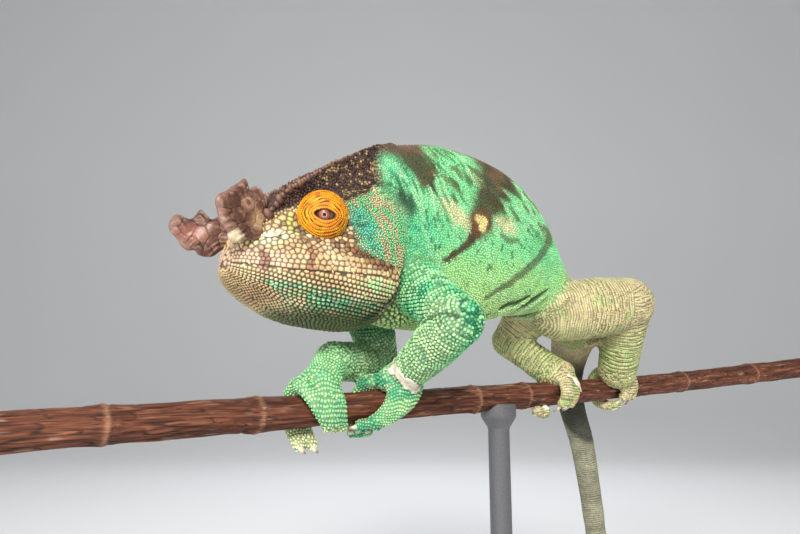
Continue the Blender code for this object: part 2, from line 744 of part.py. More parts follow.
def toe_pieces(values):
    """Closed meshes of a bundle of toes wrapped round the branch, the ends of its toes and claws."""
    toes = values[0]
    pieces = [mesh_from_rings(bundle_rings(values))]
    for toe in range(toes):
        share = toe - (toes - 1) / 2
        reach = 0.97 - 0.05 * abs(share)
        (before, _, _, _), (spot, _, width, height) = (bundle_place(values, t) for t in (reach - 0.1, reach))
        ahead = (spot - before).normalized()
        spot = spot + Vector((share * 2 * width / toes, 0, 0))
        pieces.append(ball(spot, (width / toes * 0.96, height * 0.9, height * 0.9), None, 7, 5))
        pieces.append(claw_mesh(spot + ahead * height * 0.6, ahead, values[2][1]))
    return pieces


def claw_mesh(root, ahead, angle):
    """A hooked claw that grows out of the end of a toe and bends in towards the branch."""
    turn = math.radians(angle)
    inwards = Vector((0, -math.cos(turn), -math.sin(turn)))
    spots, sizes = [], []
    for k in range(3):
        t = k / 2
        spots.append(root + ahead * (CLAW_LENGTH * t) + inwards * (CLAW_LENGTH * CLAW_HOOK * t * t))
        sizes.append(CLAW_RADIUS * (1.15 - 0.85 * t))
    return mesh_from_rings(tube_rings(spots, sizes, sizes, 5, up=(1, 0, 0), round_ends=(False, False)))


def make_foot(name, limb):
    """A palm on top of the branch with its two opposed bundles of toes, fused in one piece."""
    values = FEET[name]
    palm_x = values["palm_x"]
    spot = round_branch(palm_x, values["palm_angle"], branch_radius(palm_x) + PALM_RADII[2] * 0.8)
    end = Vector(LIMBS[limb]["end"])
    foot = add_object(name, ball(spot, PALM_RADII, None, 12, 7), "skin_green")
    path = [end.lerp(spot, s) for s in np.linspace(-0.10, 1.0, 3)]
    sizes = np.linspace(LIMBS[limb]["radii"][-1] * 0.98, PALM_RADII[1] * 0.9, 3)
    joined = [add_object("wrist", mesh_from_rings(tube_rings(path, sizes, sizes, 10)), "skin_green")]
    for bundle in ("front", "back"):
        for mesh in toe_pieces(values[bundle]):
            joined.append(add_object("toe", mesh, "skin_green"))
    boolean(foot, "UNION", joined, SEAM_MERGE)
    cutters = [branch_cutter(), limb_part("grown_lower", limb, "lower", GAP)]
    if name == "hand_left":
        cutters.append(limb_part("grown_other", "arm_right", "lower", GAP))
    if name == "foot_left":
        cutters.append(tail_cutter())
    return boolean(foot, "DIFFERENCE", cutters, SEAM_MERGE)


# Body

def make_body():
    """Neck, torso and the lengths of the tail, parted by thin cuts."""
    neck = add_object("neck", mesh_from_rings(trunk_rings(0.0, NECK_END, 7)), "skin_green")
    cut = Vector(HEAD_CUT_NORMAL).normalized()
    trim(neck, Vector(HEAD_CUT_POINT) + cut * GAP, -cut)
    ring = trunk_section(NECK_CUT)
    across = (Vector(ring[0]) - Vector(ring[len(ring) // 2])).normalized()
    ahead = Vector((across.z, 0, -across.x))
    trim(neck, sum((Vector(p) for p in ring), Vector()) / len(ring), ahead)
    rings = trunk_rings(TORSO_START, TAIL_START_STATION, 21)
    torso = add_object("torso", mesh_from_rings(rings), "skin_green")
    trim(torso, sum((Vector(p) for p in ring), Vector()) / len(ring) + ahead * GAP, -ahead)
    return neck, torso


def make_tail():
    """The tail as lengths with a thin gap between them, its root set on the end of the torso."""
    rings = tail_rings()
    count = len(rings)
    names = ("tail_base", "tail_middle", "tail_hook", "tail_curl", "tail_tip")
    bounds = [0, *TAIL_CUTS, count]
    made = []
    for name, first, last in zip(names, bounds[:-1], bounds[1:]):
        part = [list(ring) for ring in rings[first : min(last + 1, count)]]
        if last < count:
            middle = sum(part[-1], Vector()) / len(part[-1])
            before = sum(part[-2], Vector()) / len(part[-2])
            part[-1] = [p - (middle - before).normalized() * GAP for p in part[-1]]
        made.append(add_object(name, mesh_from_rings(part), "skin_green"))
    boolean(made[0], "DIFFERENCE", [torso_cutter(), branch_cutter()])
    return made


def make_branch():
    return add_object("branch", mesh_from_rings(branch_rings()), "bark")


def make_stand():
    """An oval base with a bevelled edge, and one rod with a saddle under the branch."""
    floor = -BRANCH_HEIGHT
    around = 32
    profile = ((1.0, 0.0), (1.0, 0.010), (0.985, 0.013), (0.97, BASE_THICKNESS))
    rings = [
        [
            Vector((
                BASE_CENTRE_X + BASE_LENGTH / 2 * share * math.cos(a),
                BASE_WIDTH / 2 * share * math.sin(a),
                floor + height,
            ))
            for a in (2 * math.pi * k / around for k in range(around))
        ]
        for share, height in profile
    ]
    add_object("stand_base", mesh_from_rings(rings), "stand_base")
    under = branch_centre(ROD_X)
    bottom = floor + BASE_THICKNESS + GAP
    top = under.z - BRANCH_RADIUS
    turned = (
        (ROD_RADIUS * 2.4, bottom),
        (ROD_RADIUS * 2.4, bottom + 0.003),
        (ROD_RADIUS, bottom + 0.0035),
        (ROD_RADIUS, top - SADDLE_HEIGHT),
        (SADDLE_RADIUS, top - SADDLE_HEIGHT * 0.4),
        (SADDLE_RADIUS, top + BRANCH_RADIUS * 0.55),
    )
    mesh = turned_mesh(turned, 16)
    bmesh.ops.translate(mesh, verts=mesh.verts[:], vec=(under.x, under.y, 0))
    rod = add_object("stand_rod", mesh, "stand_metal")
    boolean(rod, "DIFFERENCE", [branch_cutter()])


def main():
    clear_scene()
    make_branch()
    make_stand()
    make_body()
    make_tail()
    make_head()
    for side in ("left", "right"):
        make_turret(side)
        make_eye(side)
        make_horn(side)
        make_limb(f"arm_{side}")
        make_limb(f"leg_{side}")
        make_foot(f"hand_{side}", f"arm_{side}")
        make_foot(f"foot_{side}", f"leg_{side}")
    for obj in bpy.context.scene.objects:
        obj.location = PERCH_ORIGIN


main()
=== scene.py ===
import math

import bmesh
import bpy
import numpy as np
from mathutils import Matrix, Vector
from mathutils.bvhtree import BVHTree
from mathutils.kdtree import KDTree
from numpy.linalg import norm


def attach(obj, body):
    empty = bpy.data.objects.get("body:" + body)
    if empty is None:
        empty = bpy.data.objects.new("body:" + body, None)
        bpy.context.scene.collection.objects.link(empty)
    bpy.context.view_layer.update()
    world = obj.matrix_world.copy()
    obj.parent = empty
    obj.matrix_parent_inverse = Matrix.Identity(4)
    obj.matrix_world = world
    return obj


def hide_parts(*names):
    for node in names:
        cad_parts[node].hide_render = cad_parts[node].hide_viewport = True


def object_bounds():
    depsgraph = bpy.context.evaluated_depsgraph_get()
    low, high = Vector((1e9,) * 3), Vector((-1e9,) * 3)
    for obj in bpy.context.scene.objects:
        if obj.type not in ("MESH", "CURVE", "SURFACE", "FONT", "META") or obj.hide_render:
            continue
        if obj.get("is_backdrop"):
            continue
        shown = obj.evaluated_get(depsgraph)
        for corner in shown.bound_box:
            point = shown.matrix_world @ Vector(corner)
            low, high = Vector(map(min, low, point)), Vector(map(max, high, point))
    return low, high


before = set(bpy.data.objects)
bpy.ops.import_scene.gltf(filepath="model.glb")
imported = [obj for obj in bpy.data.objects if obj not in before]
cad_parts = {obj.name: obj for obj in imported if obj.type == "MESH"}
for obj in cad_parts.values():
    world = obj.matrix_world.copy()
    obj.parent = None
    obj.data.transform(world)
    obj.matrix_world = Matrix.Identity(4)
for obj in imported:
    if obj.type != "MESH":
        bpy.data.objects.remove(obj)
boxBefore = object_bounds()

# Shapes are laid out in the perch frame: X along the branch from the head towards the tail, Y from the
# animal's left to its right, Z up, from the branch's centre line under the left hand
perchShift = np.array((-0.09, 0.0, 0.156))
mm = 0.001


# A socket that can stand in a sum: each operator adds its Math node
class Wire:
    def __init__(self, board, socket):
        self.board = board
        self.socket = socket

    def sum(self, operation, other, swap=False):
        first, second = (other, self) if swap else (self, other)
        return self.board.add("ShaderNodeMath", {"operation": operation}, {0: first, 1: second})

    def __add__(self, other):
        return self.sum("ADD", other)

    def __radd__(self, other):
        return self.sum("ADD", other, True)

    def __mul__(self, other):
        return self.sum("MULTIPLY", other)

    def __rtruediv__(self, other):
        return self.sum("DIVIDE", other, True)


# A node tree, of a material or of Geometry Nodes, that nodes are added to
class Board:
    def __init__(self, tree, material=None):
        self.tree = tree
        self.material = material

    # Settings are set first, a ramp's stops among them, and then the values or links of the sockets
    def add(self, kind, settings=None, values=None, out=0):
        node = self.tree.nodes.new(kind)
        for name, value in (settings or {}).items():
            if name == "stops":
                ramp = node.color_ramp
                while len(ramp.elements) < len(value):
                    ramp.elements.new(0.5)
                for element, (place, colour) in zip(ramp.elements, value):
                    element.position = place
                    element.color = (*colour, 1.0)
            else:
                setattr(node, name, value)
        for name, value in (values or {}).items():
            socket = node.inputs[name]
            if isinstance(value, Wire):
                self.tree.links.new(value.socket, socket)
            else:
                socket.default_value = value
        return Wire(self, node.outputs[out]) if node.outputs else None

    def place(self):
        return self.add("ShaderNodeTexCoord", out="Object")

    def stretched(self, *scale):
        return self.add("ShaderNodeMapping", None, {"Vector": self.place(), "Scale": scale})

    def noise(self, scale, detail, rough=0.5, vector=None, distortion=0.0):
        values = {"Scale": scale, "Detail": detail, "Roughness": rough, "Distortion": distortion}
        return self.add("ShaderNodeTexNoise", None, {"Vector": vector or self.place(), **values})

    def ramp(self, stops, share):
        return self.add("ShaderNodeValToRGB", {"stops": stops}, {0: share})

    def bump(self, strength, distance, height):
        values = {"Strength": strength, "Distance": distance, "Height": height}
        return self.add("ShaderNodeBump", None, values)

    def painted(self, tone):
        paint = self.add("ShaderNodeAttribute", {"attribute_name": "paint"})
        settings = {"data_type": "RGBA", "blend_type": "MULTIPLY"}
        return self.add("ShaderNodeMix", settings, {0: 1.0, 6: paint, 7: tone}, out=2)


def newFinish(name):
    material = bpy.data.materials.new(name)
    material.use_nodes = True
    material.node_tree.nodes.clear()
    return Board(material.node_tree, material)


def closeFinish(board, **values):
    names = {key.replace("_", " ").title().replace("Ior", "IOR"): value for key, value in values.items()}
    shader = board.add("ShaderNodeBsdfPrincipled", None, names)
    board.add("ShaderNodeOutputMaterial", None, {"Surface": shader})
    return board.material


# A finish over painted colours: two tones mottle them, and a grain gives the gloss and the bump
def paintedFinish(name, tones, grain, roughness, spread=0.0, mottle=None, bump=None, **gloss):
    board = newFinish(name)
    fine = board.noise(*grain)
    tone = board.ramp(tones, board.noise(*mottle) if mottle else fine)
    if bump:
        gloss["normal"] = board.bump(*bump, fine)
    if spread:
        roughness = roughness + fine * spread
    return closeFinish(board, base_color=board.painted(tone), roughness=roughness, **gloss)


# Smooth random numbers from 0 to 1 at points, on a lattice whose cell is size, a length or three
def cloud(points, size, seed):
    place = np.asarray(points) / np.asarray(size) + seed * 7.31
    corner = np.floor(place).astype(np.int64)
    ease = place - corner
    ease = ease * ease * (3 - 2 * ease)
    total = 0.0
    for step in range(8):
        pick = np.array((step & 1, step >> 1 & 1, step >> 2 & 1))
        key = ((corner + pick) * np.array((73856093, 19349663, 83492791))).sum(1) + seed * 2654435
        key = (key ^ (key >> 13)) * 1274126177 & 0x7FFFFFFF
        key = (key ^ (key >> 11)) * 668265263 & 0x7FFFFFFF
        weight = np.where(pick == 1, ease, 1 - ease).prod(1)
        total = total + weight * (key / 0x7FFFFFFF)
    return total


def clamp(values, low=0.0, high=1.0):
    return np.clip(values, low, high)


# 0 below start, 1 above end, smooth between
def rise(values, start, end):
    share = clamp((values - start) / (end - start))
    return share * share * (3 - 2 * share)


def blend(first, second, share):
    share = np.asarray(share)[..., None]
    return np.asarray(first) * (1 - share) + np.asarray(second) * share


# Tones laid over a colour in turn, each with the share of it that shows
def layered(colour, *layers):
    for tone, share in layers:
        colour = blend(colour, tone, share)
    return colour


def between(first, second, share):
    return first + (second - first) * share


# Rows of numbers read off one smooth curve at fractional row numbers
def smoothRows(rows, places):
    rows = np.asarray(rows, float)
    last = len(rows) - 1
    places = np.clip(np.asarray(places, float), 0.0, last)
    first = np.minimum(places.astype(int), last - 1)
    t = (places - first)[:, None]
    rows = np.vstack((2 * rows[0] - rows[1], rows, 2 * rows[-1] - rows[-2]))
    a, b, c, d = (rows[first + k] for k in range(4))
    return 0.5 * (2 * b + (c - a) * t + (2 * a - 5 * b + 4 * c - d) * t * t + (3 * b - a - 3 * c + d) * t**3)


def fullTurn(count):
    return math.tau * np.arange(count) / count


# How far along a path each of its points lies
def arcLengths(path):
    return np.concatenate(([0], np.cumsum(norm(np.diff(path, axis=0), axis=1))))


# How far along a straight line each point lies, as a share of the line, and how far off it
def beside(points, first, second, low=0.0, high=1.0):
    way = second - first
    share = clamp((points - first) @ way / max(way @ way, 1e-9), low, high)
    return share, norm(points - first - share[:, None] * way, axis=1)


# Vertices and faces of a closed skin through rings of the same number of points
def ringMesh(rings):
    rings = np.asarray(rings, float)
    count, around = rings.shape[:2]
    grid = np.arange(count * around).reshape(count, around)
    later = np.roll(grid, -1, axis=1)
    faces = np.stack((grid[:-1], later[:-1], later[1:], grid[1:]), -1).reshape(-1, 4).tolist()
    ends = count * around
    for k in range(around):
        faces.append((later[0, k], grid[0, k], ends))
        faces.append((grid[-1, k], later[-1, k], ends + 1))
    points = np.vstack((rings.reshape(-1, 3), rings[0].mean(0), rings[-1].mean(0)))
    return points, faces


def joinMeshes(parts):
    points, faces, start = [], [], 0
    for some, theirs in parts:
        points.append(some)
        faces += [[int(k) + start for k in face] for face in theirs]
        start += len(some)
    return np.vstack(points), faces


# Side and lift directions of a section across each point of a path
def sectionsAlong(points, up):
    ahead = np.gradient(points, axis=0)
    ahead /= norm(ahead, axis=1)[:, None]
    side = np.cross(ahead[0], up)
    sides = []
    for way in ahead:
        side = side - way * side.dot(way)
        side = side / norm(side)
        sides.append(side)
    sides = np.array(sides)
    lifts = np.cross(sides, ahead)
    return sides, lifts / norm(lifts, axis=1)[:, None]


def tubeRings(points, widths, heights, around, up=(0, 0, 1), roundEnds=(True, True)):
    sides, lifts = sectionsAlong(points, np.asarray(up, float))
    turns = fullTurn(around)
    rings = [
        p + np.outer(np.cos(turns), s) * w + np.outer(np.sin(turns), u) * h
        for p, s, u, w, h in zip(points, sides, lifts, widths, heights)
    ]
    for end, inner in ((0, 1), (-1, -2)):
        if not roundEnds[end]:
            continue
        out = (points[end] - points[inner]) / norm(points[end] - points[inner])
        reach = min(widths[end], heights[end])
        caps = [
            points[end] + (rings[end] - points[end]) * math.cos(lean) + out * (reach * math.sin(lean))
            for lean in np.radians((20, 40, 60, 78))
        ]
        rings = caps[::-1] + rings if end == 0 else rings + caps
    return np.array(rings)


def ballRings(centre, radii, around, rows, turn=None):
    leans = np.linspace(-math.pi / 2, math.pi / 2, rows + 2)[1:-1]
    turns = fullTurn(around)
    shape = np.array([
        [(math.cos(lean) * math.cos(a), math.cos(lean) * math.sin(a), math.sin(lean)) for a in turns]
        for lean in leans
    ])
    shape = shape * np.asarray(radii)
    if turn is not None:
        shape = shape @ np.array(turn).T
    return shape + np.asarray(centre)


def vertexNormals(points, triangles):
    a, b, c = (points[triangles[:, k]] for k in range(3))
    faceNormals = np.cross(b - a, c - a)
    total = np.zeros_like(points)
    for k in range(3):
        for axis in range(3):
            total[:, axis] += np.bincount(triangles[:, k], faceNormals[:, axis], len(points))
    return total / np.maximum(norm(total, axis=1), 1e-12)[:, None]


# The mean of each vertex's neighbours, of one number or of several
def neighbourMean(values, edges):
    first, second = edges.T
    size = len(values)
    count = np.maximum(np.bincount(edges.ravel(), minlength=size), 1)
    sums = [
        np.bincount(first, column[second], size) + np.bincount(second, column[first], size)
        for column in values.reshape(size, -1).T
    ]
    return (np.stack(sums, -1) / count[:, None]).reshape(values.shape)


# Draws each vertex towards the middle of its neighbours, as far as its weight says
def relax(points, edges, weight, rounds, push=0.0):
    weight = np.broadcast_to(weight, len(points))[:, None]
    for step in range(rounds):
        pull = 0.5 if not push or step % 2 == 0 else -push
        points = points + (neighbourMean(points, edges) - points) * weight * pull
    return points


# 1 where two parts meet, fading over as many rounds of neighbours
def seamMarks(labels, edges, rounds, fade):
    seam = np.zeros(len(labels))
    apart = labels[edges[:, 0]] != labels[edges[:, 1]]
    seam[edges[apart].ravel()] = 1.0
    for _ in range(rounds):
        seam = np.maximum(seam, neighbourMean(seam, edges) * fade)
    return seam


def treeOf(spots):
    tree = KDTree(len(spots))
    for k, spot in enumerate(spots):
        tree.insert(spot, k)
    tree.balance()
    return tree


# What a mesh's vertices, edges, corners or attribute values hold, a row of width numbers for each
def readAll(members, key, width, kind=float):
    values = np.zeros(len(members) * width, kind)
    members.foreach_get(key, values)
    return values.reshape(-1, width)


def readMesh(mesh):
    mesh.calc_loop_triangles()
    points, edges = readAll(mesh.vertices, "co", 3), readAll(mesh.edges, "vertices", 2, int)
    return points, edges, readAll(mesh.loop_triangles, "vertices", 3, int)


def putPoints(mesh, points):
    mesh.vertices.foreach_set("co", np.asarray(points, float).ravel())
    mesh.update()


def cornerVertices(mesh):
    return readAll(mesh.loops, "vertex_index", 1, int)[:, 0]


def putColours(mesh, colours):
    layer = mesh.color_attributes.get("paint") or mesh.color_attributes.new("paint", "FLOAT_COLOR", "POINT")
    full = np.ones((len(mesh.vertices), 4), np.float32)
    full[:, :3] = colours
    layer.data.foreach_set("color", full.ravel())


def putBakeMap(mesh, uv):
    mesh.uv_layers.new(name="OFBake").data.foreach_set("uv", uv.ravel())


def putValues(mesh, name, values):
    values = np.asarray(values, np.float32)
    kind, key = ("FLOAT_VECTOR", "vector") if values.ndim == 2 else ("FLOAT", "value")
    layer = mesh.attributes.get(name) or mesh.attributes.new(name, kind, "POINT")
    layer.data.foreach_set(key, values.ravel())


def newObject(name, data, finish=None):
    obj = bpy.data.objects.new(name, data)
    bpy.context.scene.collection.objects.link(obj)
    if finish:
        data.materials.clear()
        data.materials.append(finish)
    return obj


def meshObject(name, points, faces, finish=None):
    mesh = bpy.data.meshes.new(name)
    mesh.from_pydata(np.asarray(points).tolist(), [], [list(map(int, face)) for face in faces])
    turned = bmesh.new()
    turned.from_mesh(mesh)
    bmesh.ops.recalc_face_normals(turned, faces=turned.faces[:])
    turned.to_mesh(mesh)
    turned.free()
    mesh.shade_smooth()
    return newObject(name, mesh, finish)


# Evaluates an object with one modifier and gives the result as a plain mesh
def settled(obj, modifier):
    graph = bpy.context.evaluated_depsgraph_get()
    mesh = bpy.data.meshes.new_from_object(obj.evaluated_get(graph))
    obj.modifiers.remove(modifier)
    return mesh


def remeshed(obj, size):
    modifier = obj.modifiers.new("remesh", "REMESH")
    modifier.mode = "VOXEL"
    modifier.voxel_size = size
    modifier.use_smooth_shade = True
    mesh = settled(obj, modifier)
    bpy.data.objects.remove(obj)
    return mesh


# Runs a Geometry Nodes tree on an object, its inputs given by name
def runTree(obj, tree, values):
    modifier = obj.modifiers.new("nodes", "NODES")
    modifier.node_group = tree
    for socket in tree.interface.items_tree:
        if socket.in_out == "INPUT" and socket.name in values:
            modifier[socket.identifier] = values[socket.name]
    return settled(obj, modifier)


def newTree(name, inputs):
    tree = bpy.data.node_groups.new(name, "GeometryNodeTree")
    tree.interface.new_socket(name="Geometry", in_out="INPUT", socket_type="NodeSocketGeometry")
    for label, kind in inputs:
        tree.interface.new_socket(name=label, in_out="INPUT", socket_type=f"NodeSocket{kind}")
    tree.interface.new_socket(name="Geometry", in_out="OUTPUT", socket_type="NodeSocketGeometry")
    board = Board(tree)
    given = tree.nodes.new("NodeGroupInput")
    return tree, board, {socket.name: Wire(board, socket) for socket in given.outputs if socket.name}


def finishPiece(obj, slotName, *nodes):
    obj.data.transform(Matrix.Translation(perchShift))
    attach(obj, "root")
    if nodes:
        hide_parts(*nodes)


# The branch: a bent, knotty stick with fibrous bark

branchForm = {
    "start": -0.13, "end": 0.31, "radius": 0.0055,
    "rise": 0.035, "liftFrom": 0.1, "lift": 0.18, "bendFrom": 0.12, "bend": -1.08,
    "knots": (-0.098, -0.052, 0.046, 0.078, 0.205, 0.262),
    "rings": 760, "around": 96, "ridgeDepth": 0.00034, "crackDepth": 0.0003, "fineDepth": 0.00016,
    "dark": (0.075, 0.025, 0.014), "middle": (0.165, 0.056, 0.029), "light": (0.36, 0.16, 0.095),
    "flake": (0.55, 0.42, 0.33), "node": (0.5, 0.27, 0.18), "heart": (0.42, 0.27, 0.15),
}


def branchCentre(x):
    x = np.asarray(x, float)
    lift = branchForm["lift"] * np.maximum(0.0, x - branchForm["liftFrom"]) ** 2
    bend = branchForm["bend"] * np.maximum(0.0, x - branchForm["bendFrom"]) ** 2
    return np.stack((x, bend, branchForm["rise"] * x + lift), -1)


def branchRadius(x):
    swell = sum(0.07 * np.exp(-(((x - knot) / 0.004) ** 2)) for knot in branchForm["knots"])
    return branchForm["radius"] * (1 + swell + 0.12 * np.maximum(0.0, (x - 0.2) / 0.11))


def aroundBranch(x, angle, distance):
    turn = np.radians(angle)
    out = np.stack((0 * turn, np.cos(turn), np.sin(turn)), -1)
    return branchCentre(x) + out * np.asarray(distance)[..., None]


def barkFinish():
    board = newFinish("bark_fibres")
    fibre = board.noise(1.0, 5.0, 0.6, board.stretched(70, 2300, 2300))
    speck = board.noise(900.0, 3.0)
    streaks = board.ramp(((0.36, (0.26, 0.24, 0.23)), (0.66, (1.22, 1.12, 1.04))), fibre)
    return closeFinish(
        board, base_color=board.painted(streaks), roughness=0.62 + fibre * 0.25,
        normal=board.bump(0.55, 0.0006, fibre * 0.7 + speck * 0.3), specular_ior_level=0.35,
    )


def makeBranch():
    form = branchForm
    xs = np.linspace(form["start"], form["end"], form["rings"])
    turns = np.linspace(0, math.tau, form["around"], endpoint=False)
    # Seamless noise coordinates: the cross section is a circle wide enough for the ridges' width
    grid, ring = np.meshgrid(xs, turns, indexing="ij")
    turned = ring + (0.1 * np.sin(grid * 61) + 0.05 * np.sin(grid * 173 + 1.0))
    spots = np.stack((grid, 5.5 * mm * np.cos(turned), 5.5 * mm * np.sin(turned)), -1).reshape(-1, 3)
    ridge = cloud(spots, (14 * mm, 1.15 * mm, 1.15 * mm), 3)
    fine = cloud(spots, (5 * mm, 0.55 * mm, 0.55 * mm), 5)
    lumps = cloud(spots, (9 * mm, 4 * mm, 4 * mm), 9)
    crack = 1 - rise(np.abs(cloud(spots, (11 * mm, 1.7 * mm, 1.7 * mm), 12) - 0.5), 0.0, 0.07)
    x = spots[:, 0]
    node = sum(np.exp(-(((x - knot) / 0.0009) ** 2)) for knot in form["knots"])
    scar = sum(np.exp(-(((x - knot - 0.0016) / 0.0006) ** 2)) for knot in form["knots"])
    reach = branchRadius(x) - 0.25 * mm + 0.3 * mm * (lumps - 0.5)
    reach += form["ridgeDepth"] * (ridge - 0.5) * 2 + form["fineDepth"] * (fine - 0.5)
    reach += 0.22 * mm * node - 0.2 * mm * scar - form["crackDepth"] * crack
    points = aroundBranch(x, np.degrees(ring.ravel()), reach)
    rings = points.reshape(form["rings"], form["around"], 3)
    mesh, faces = ringMesh(rings)
    obj = meshObject("branch_bark", mesh, faces, barkFinish())
    dark = np.array(form["dark"])
    flake = cloud(spots, (6 * mm, 0.7 * mm, 0.7 * mm), 21)
    colour = blend(dark, form["middle"], rise(ridge * 0.7 + fine * 0.3, 0.22, 0.55))
    colour = blend(colour, form["light"], 0.65 * rise(ridge * 0.5 + fine * 0.5, 0.58, 0.82))
    colour = blend(colour, form["flake"], 0.45 * rise(flake, 0.78, 0.92))
    # Painted shade: the bark is darkened deep in its cracks
    colour = blend(colour, dark * 0.4, 0.75 * crack)
    colour = blend(colour, form["node"], clamp(0.5 * node))
    putColours(obj.data, np.vstack((colour, [form["heart"]] * 2)))
    print("branch", len(obj.data.polygons))
    finishPiece(obj, "bark", "branch")


makeBranch()


# The flesh, as lofted forms that are melted into one skin

trunkRows = (
    (-0.008, 0.0975, -0.018, 0.0345, 0.015),
    (0.006, 0.1022, -0.005, 0.03, 0.0176),
    (0.024, 0.1062, 0.013, 0.028, 0.0206),
    (0.043, 0.1066, 0.034, 0.03, 0.0228),
    (0.061, 0.104, 0.053, 0.034, 0.0224),
    (0.075, 0.0975, 0.0685, 0.0375, 0.0202),
    (0.086, 0.086, 0.082, 0.0382, 0.0176),
    (0.0955, 0.0715, 0.095, 0.0345, 0.015),
    (0.107, 0.0585, 0.108, 0.029, 0.0128),
    (0.12, 0.0482, 0.1195, 0.0238, 0.011),
)
tailPath = (
    (0.1218, 0.0000, 0.0357, 0.0106, 0.0126),
    (0.13, 0.0095, 0.0285, 0.0092, 0.0106),
    (0.1365, 0.0172, 0.0175, 0.008, 0.0088),
    (0.1402, 0.0202, 0.006, 0.0071, 0.0076),
    (0.1446, 0.0206, -0.0078, 0.0066, 0.0068),
    (0.1508, 0.0206, -0.0234, 0.0063, 0.0064),
    (0.1565, 0.0206, -0.0513, 0.0058, 0.0058),
    (0.16, 0.0206, -0.076, 0.0053, 0.0053),
    (0.161, 0.0206, -0.096, 0.005, 0.005),
)
curlForm = {"startRadius": 0.021, "endRadius": 0.0068, "turns": 1.4, "tip": 0.0015}

# Head stations from the snout tip to the back of the casque, and the driving curves at each
headStations = np.array((-0.065, -0.0638, -0.0606, -0.0565, -0.0518, -0.044, -0.034, -0.018, -0.006))
headCurves = {
    "top": (0.047, 0.05, 0.0545, 0.0598, 0.0662, 0.0716, 0.0796, 0.092, 0.1012),
    "crestY": (0.0028, 0.0058, 0.0092, 0.0116, 0.0132, 0.014, 0.0126, 0.008, 0.0022),
    "crestZ": (0.0468, 0.05, 0.055, 0.0612, 0.0688, 0.0752, 0.0835, 0.0944, 0.1026),
    "hollow": (0.0, 0.0002, 0.0006, 0.0012, 0.0018, 0.0024, 0.0034, 0.003, 0.0012),
    "cheekY": (0.0034, 0.007, 0.0106, 0.0128, 0.0142, 0.0152, 0.0176, 0.0202, 0.0192),
    "cheekZ": (0.0462, 0.0485, 0.0508, 0.053, 0.056, 0.0585, 0.06, 0.062, 0.064),
    "lipY": (0.0036, 0.008, 0.0124, 0.0164, 0.0192, 0.0219, 0.0233, 0.0234, 0.0214),
    "lipZ": (0.045, 0.0445, 0.0437, 0.043, 0.0424, 0.0422, 0.0426, 0.043, 0.0438),
    "jawY": (0.003, 0.0064, 0.0102, 0.0138, 0.0168, 0.0196, 0.021, 0.0206, 0.0184),
    "jawZ": (0.044, 0.0421, 0.04, 0.0382, 0.0367, 0.0354, 0.0346, 0.0344, 0.035),
    "throat": (0.0437, 0.0418, 0.0389, 0.036, 0.0329, 0.0293, 0.0268, 0.0258, 0.0268),
}
headForm = {"tilt": 0.2, "tiltHeight": 0.06, "mouthColumn": 6.0}

limbForm = {
    "arm_left": {
        "root": (0.0058, -0.0115, 0.043), "bend": (-0.002, -0.0412, 0.028),
        "end": (0.0036, -0.0098, 0.0125), "radii": (0.0108, 0.009, 0.0078, 0.0083, 0.0082, 0.0069),
    },
    "arm_right": {
        "root": (-0.001, 0.0115, 0.042), "bend": (0.018, 0.026, 0.0165),
        "end": (-0.02, 0.005, 0.0158), "radii": (0.0112, 0.009, 0.0078, 0.0082, 0.0076, 0.007),
    },
    "leg_left": {
        "root": (0.0965, -0.0085, 0.0405), "bend": (0.1268, -0.025, 0.0453),
        "end": (0.1418, -0.0085, 0.015), "radii": (0.0136, 0.0144, 0.0126, 0.0118, 0.0101, 0.0098),
    },
    "leg_right": {
        "root": (0.0985, 0.0085, 0.043), "bend": (0.095, 0.0215, 0.029),
        "end": (0.1015, 0.0005, 0.013), "radii": (0.0128, 0.0104, 0.0082, 0.0084, 0.0078, 0.008),
    },
}
# Each bundle of toes: their number, then root and tip values of x, angle round the branch and width,
# and how far the tips stand off
footForm = {
    "hand_left": {
        "limb": "arm_left", "palm": (0.002, 112.0),
        "front": (2, (0.006, -0.013), (112.0, 226.0), (0.0185, 0.0125), 0.0),
        "back": (3, (-0.001, -0.013), (78.0, -100.0), (0.015, 0.0105), 0.0),
    },
    "hand_right": {
        "limb": "arm_right", "palm": (-0.029, 100.0),
        "front": (3, (-0.0325, -0.0255), (112.0, 222.0), (0.0185, 0.009), 0.0),
        "back": (2, (-0.032, -0.0325), (76.0, -84.0), (0.013, 0.0095), 0.0035),
    },
    "foot_left": {
        "limb": "leg_left", "palm": (0.148, 106.0),
        "front": (3, (0.1508, 0.1498), (114.0, 212.0), (0.016, 0.0115), 0.0),
        "back": (2, (0.145, 0.1462), (74.0, -118.0), (0.0105, 0.0085), 0.0),
    },
    "foot_right": {
        "limb": "leg_right", "palm": (0.104, 100.0),
        "front": (2, (0.103, 0.1005), (112.0, 214.0), (0.015, 0.0115), 0.0),
        "back": (3, (0.1085, 0.082), (74.0, -128.0), (0.0135, 0.0095), 0.0),
    },
}
toeForm = {
    "rootHeight": 0.0034, "tipHeight": 0.0025, "groove": 0.34,
    "clawLength": 0.0042, "clawRadius": 0.001, "hook": 0.22,
}
palmRadii = (0.0078, 0.0066, 0.0056)


def trunkRings(count=150, around=112):
    rows = smoothRows(trunkRows, np.linspace(0, len(trunkRows) - 1, count))
    turns = fullTurn(around)
    cos, sin = np.cos(turns), np.sin(turns)
    width = np.sign(sin) * np.abs(sin) ** np.where(cos > 0, 1.3, 0.9)
    rings = []
    for topX, topZ, lowX, lowZ, half in rows:
        top, low = np.array((topX, 0, topZ)), np.array((lowX, 0, lowZ))
        ring = (top + low) / 2 + np.outer(cos, (top - low) / 2)
        ring[:, 1] += width * half
        rings.append(ring)
    return np.array(rings)


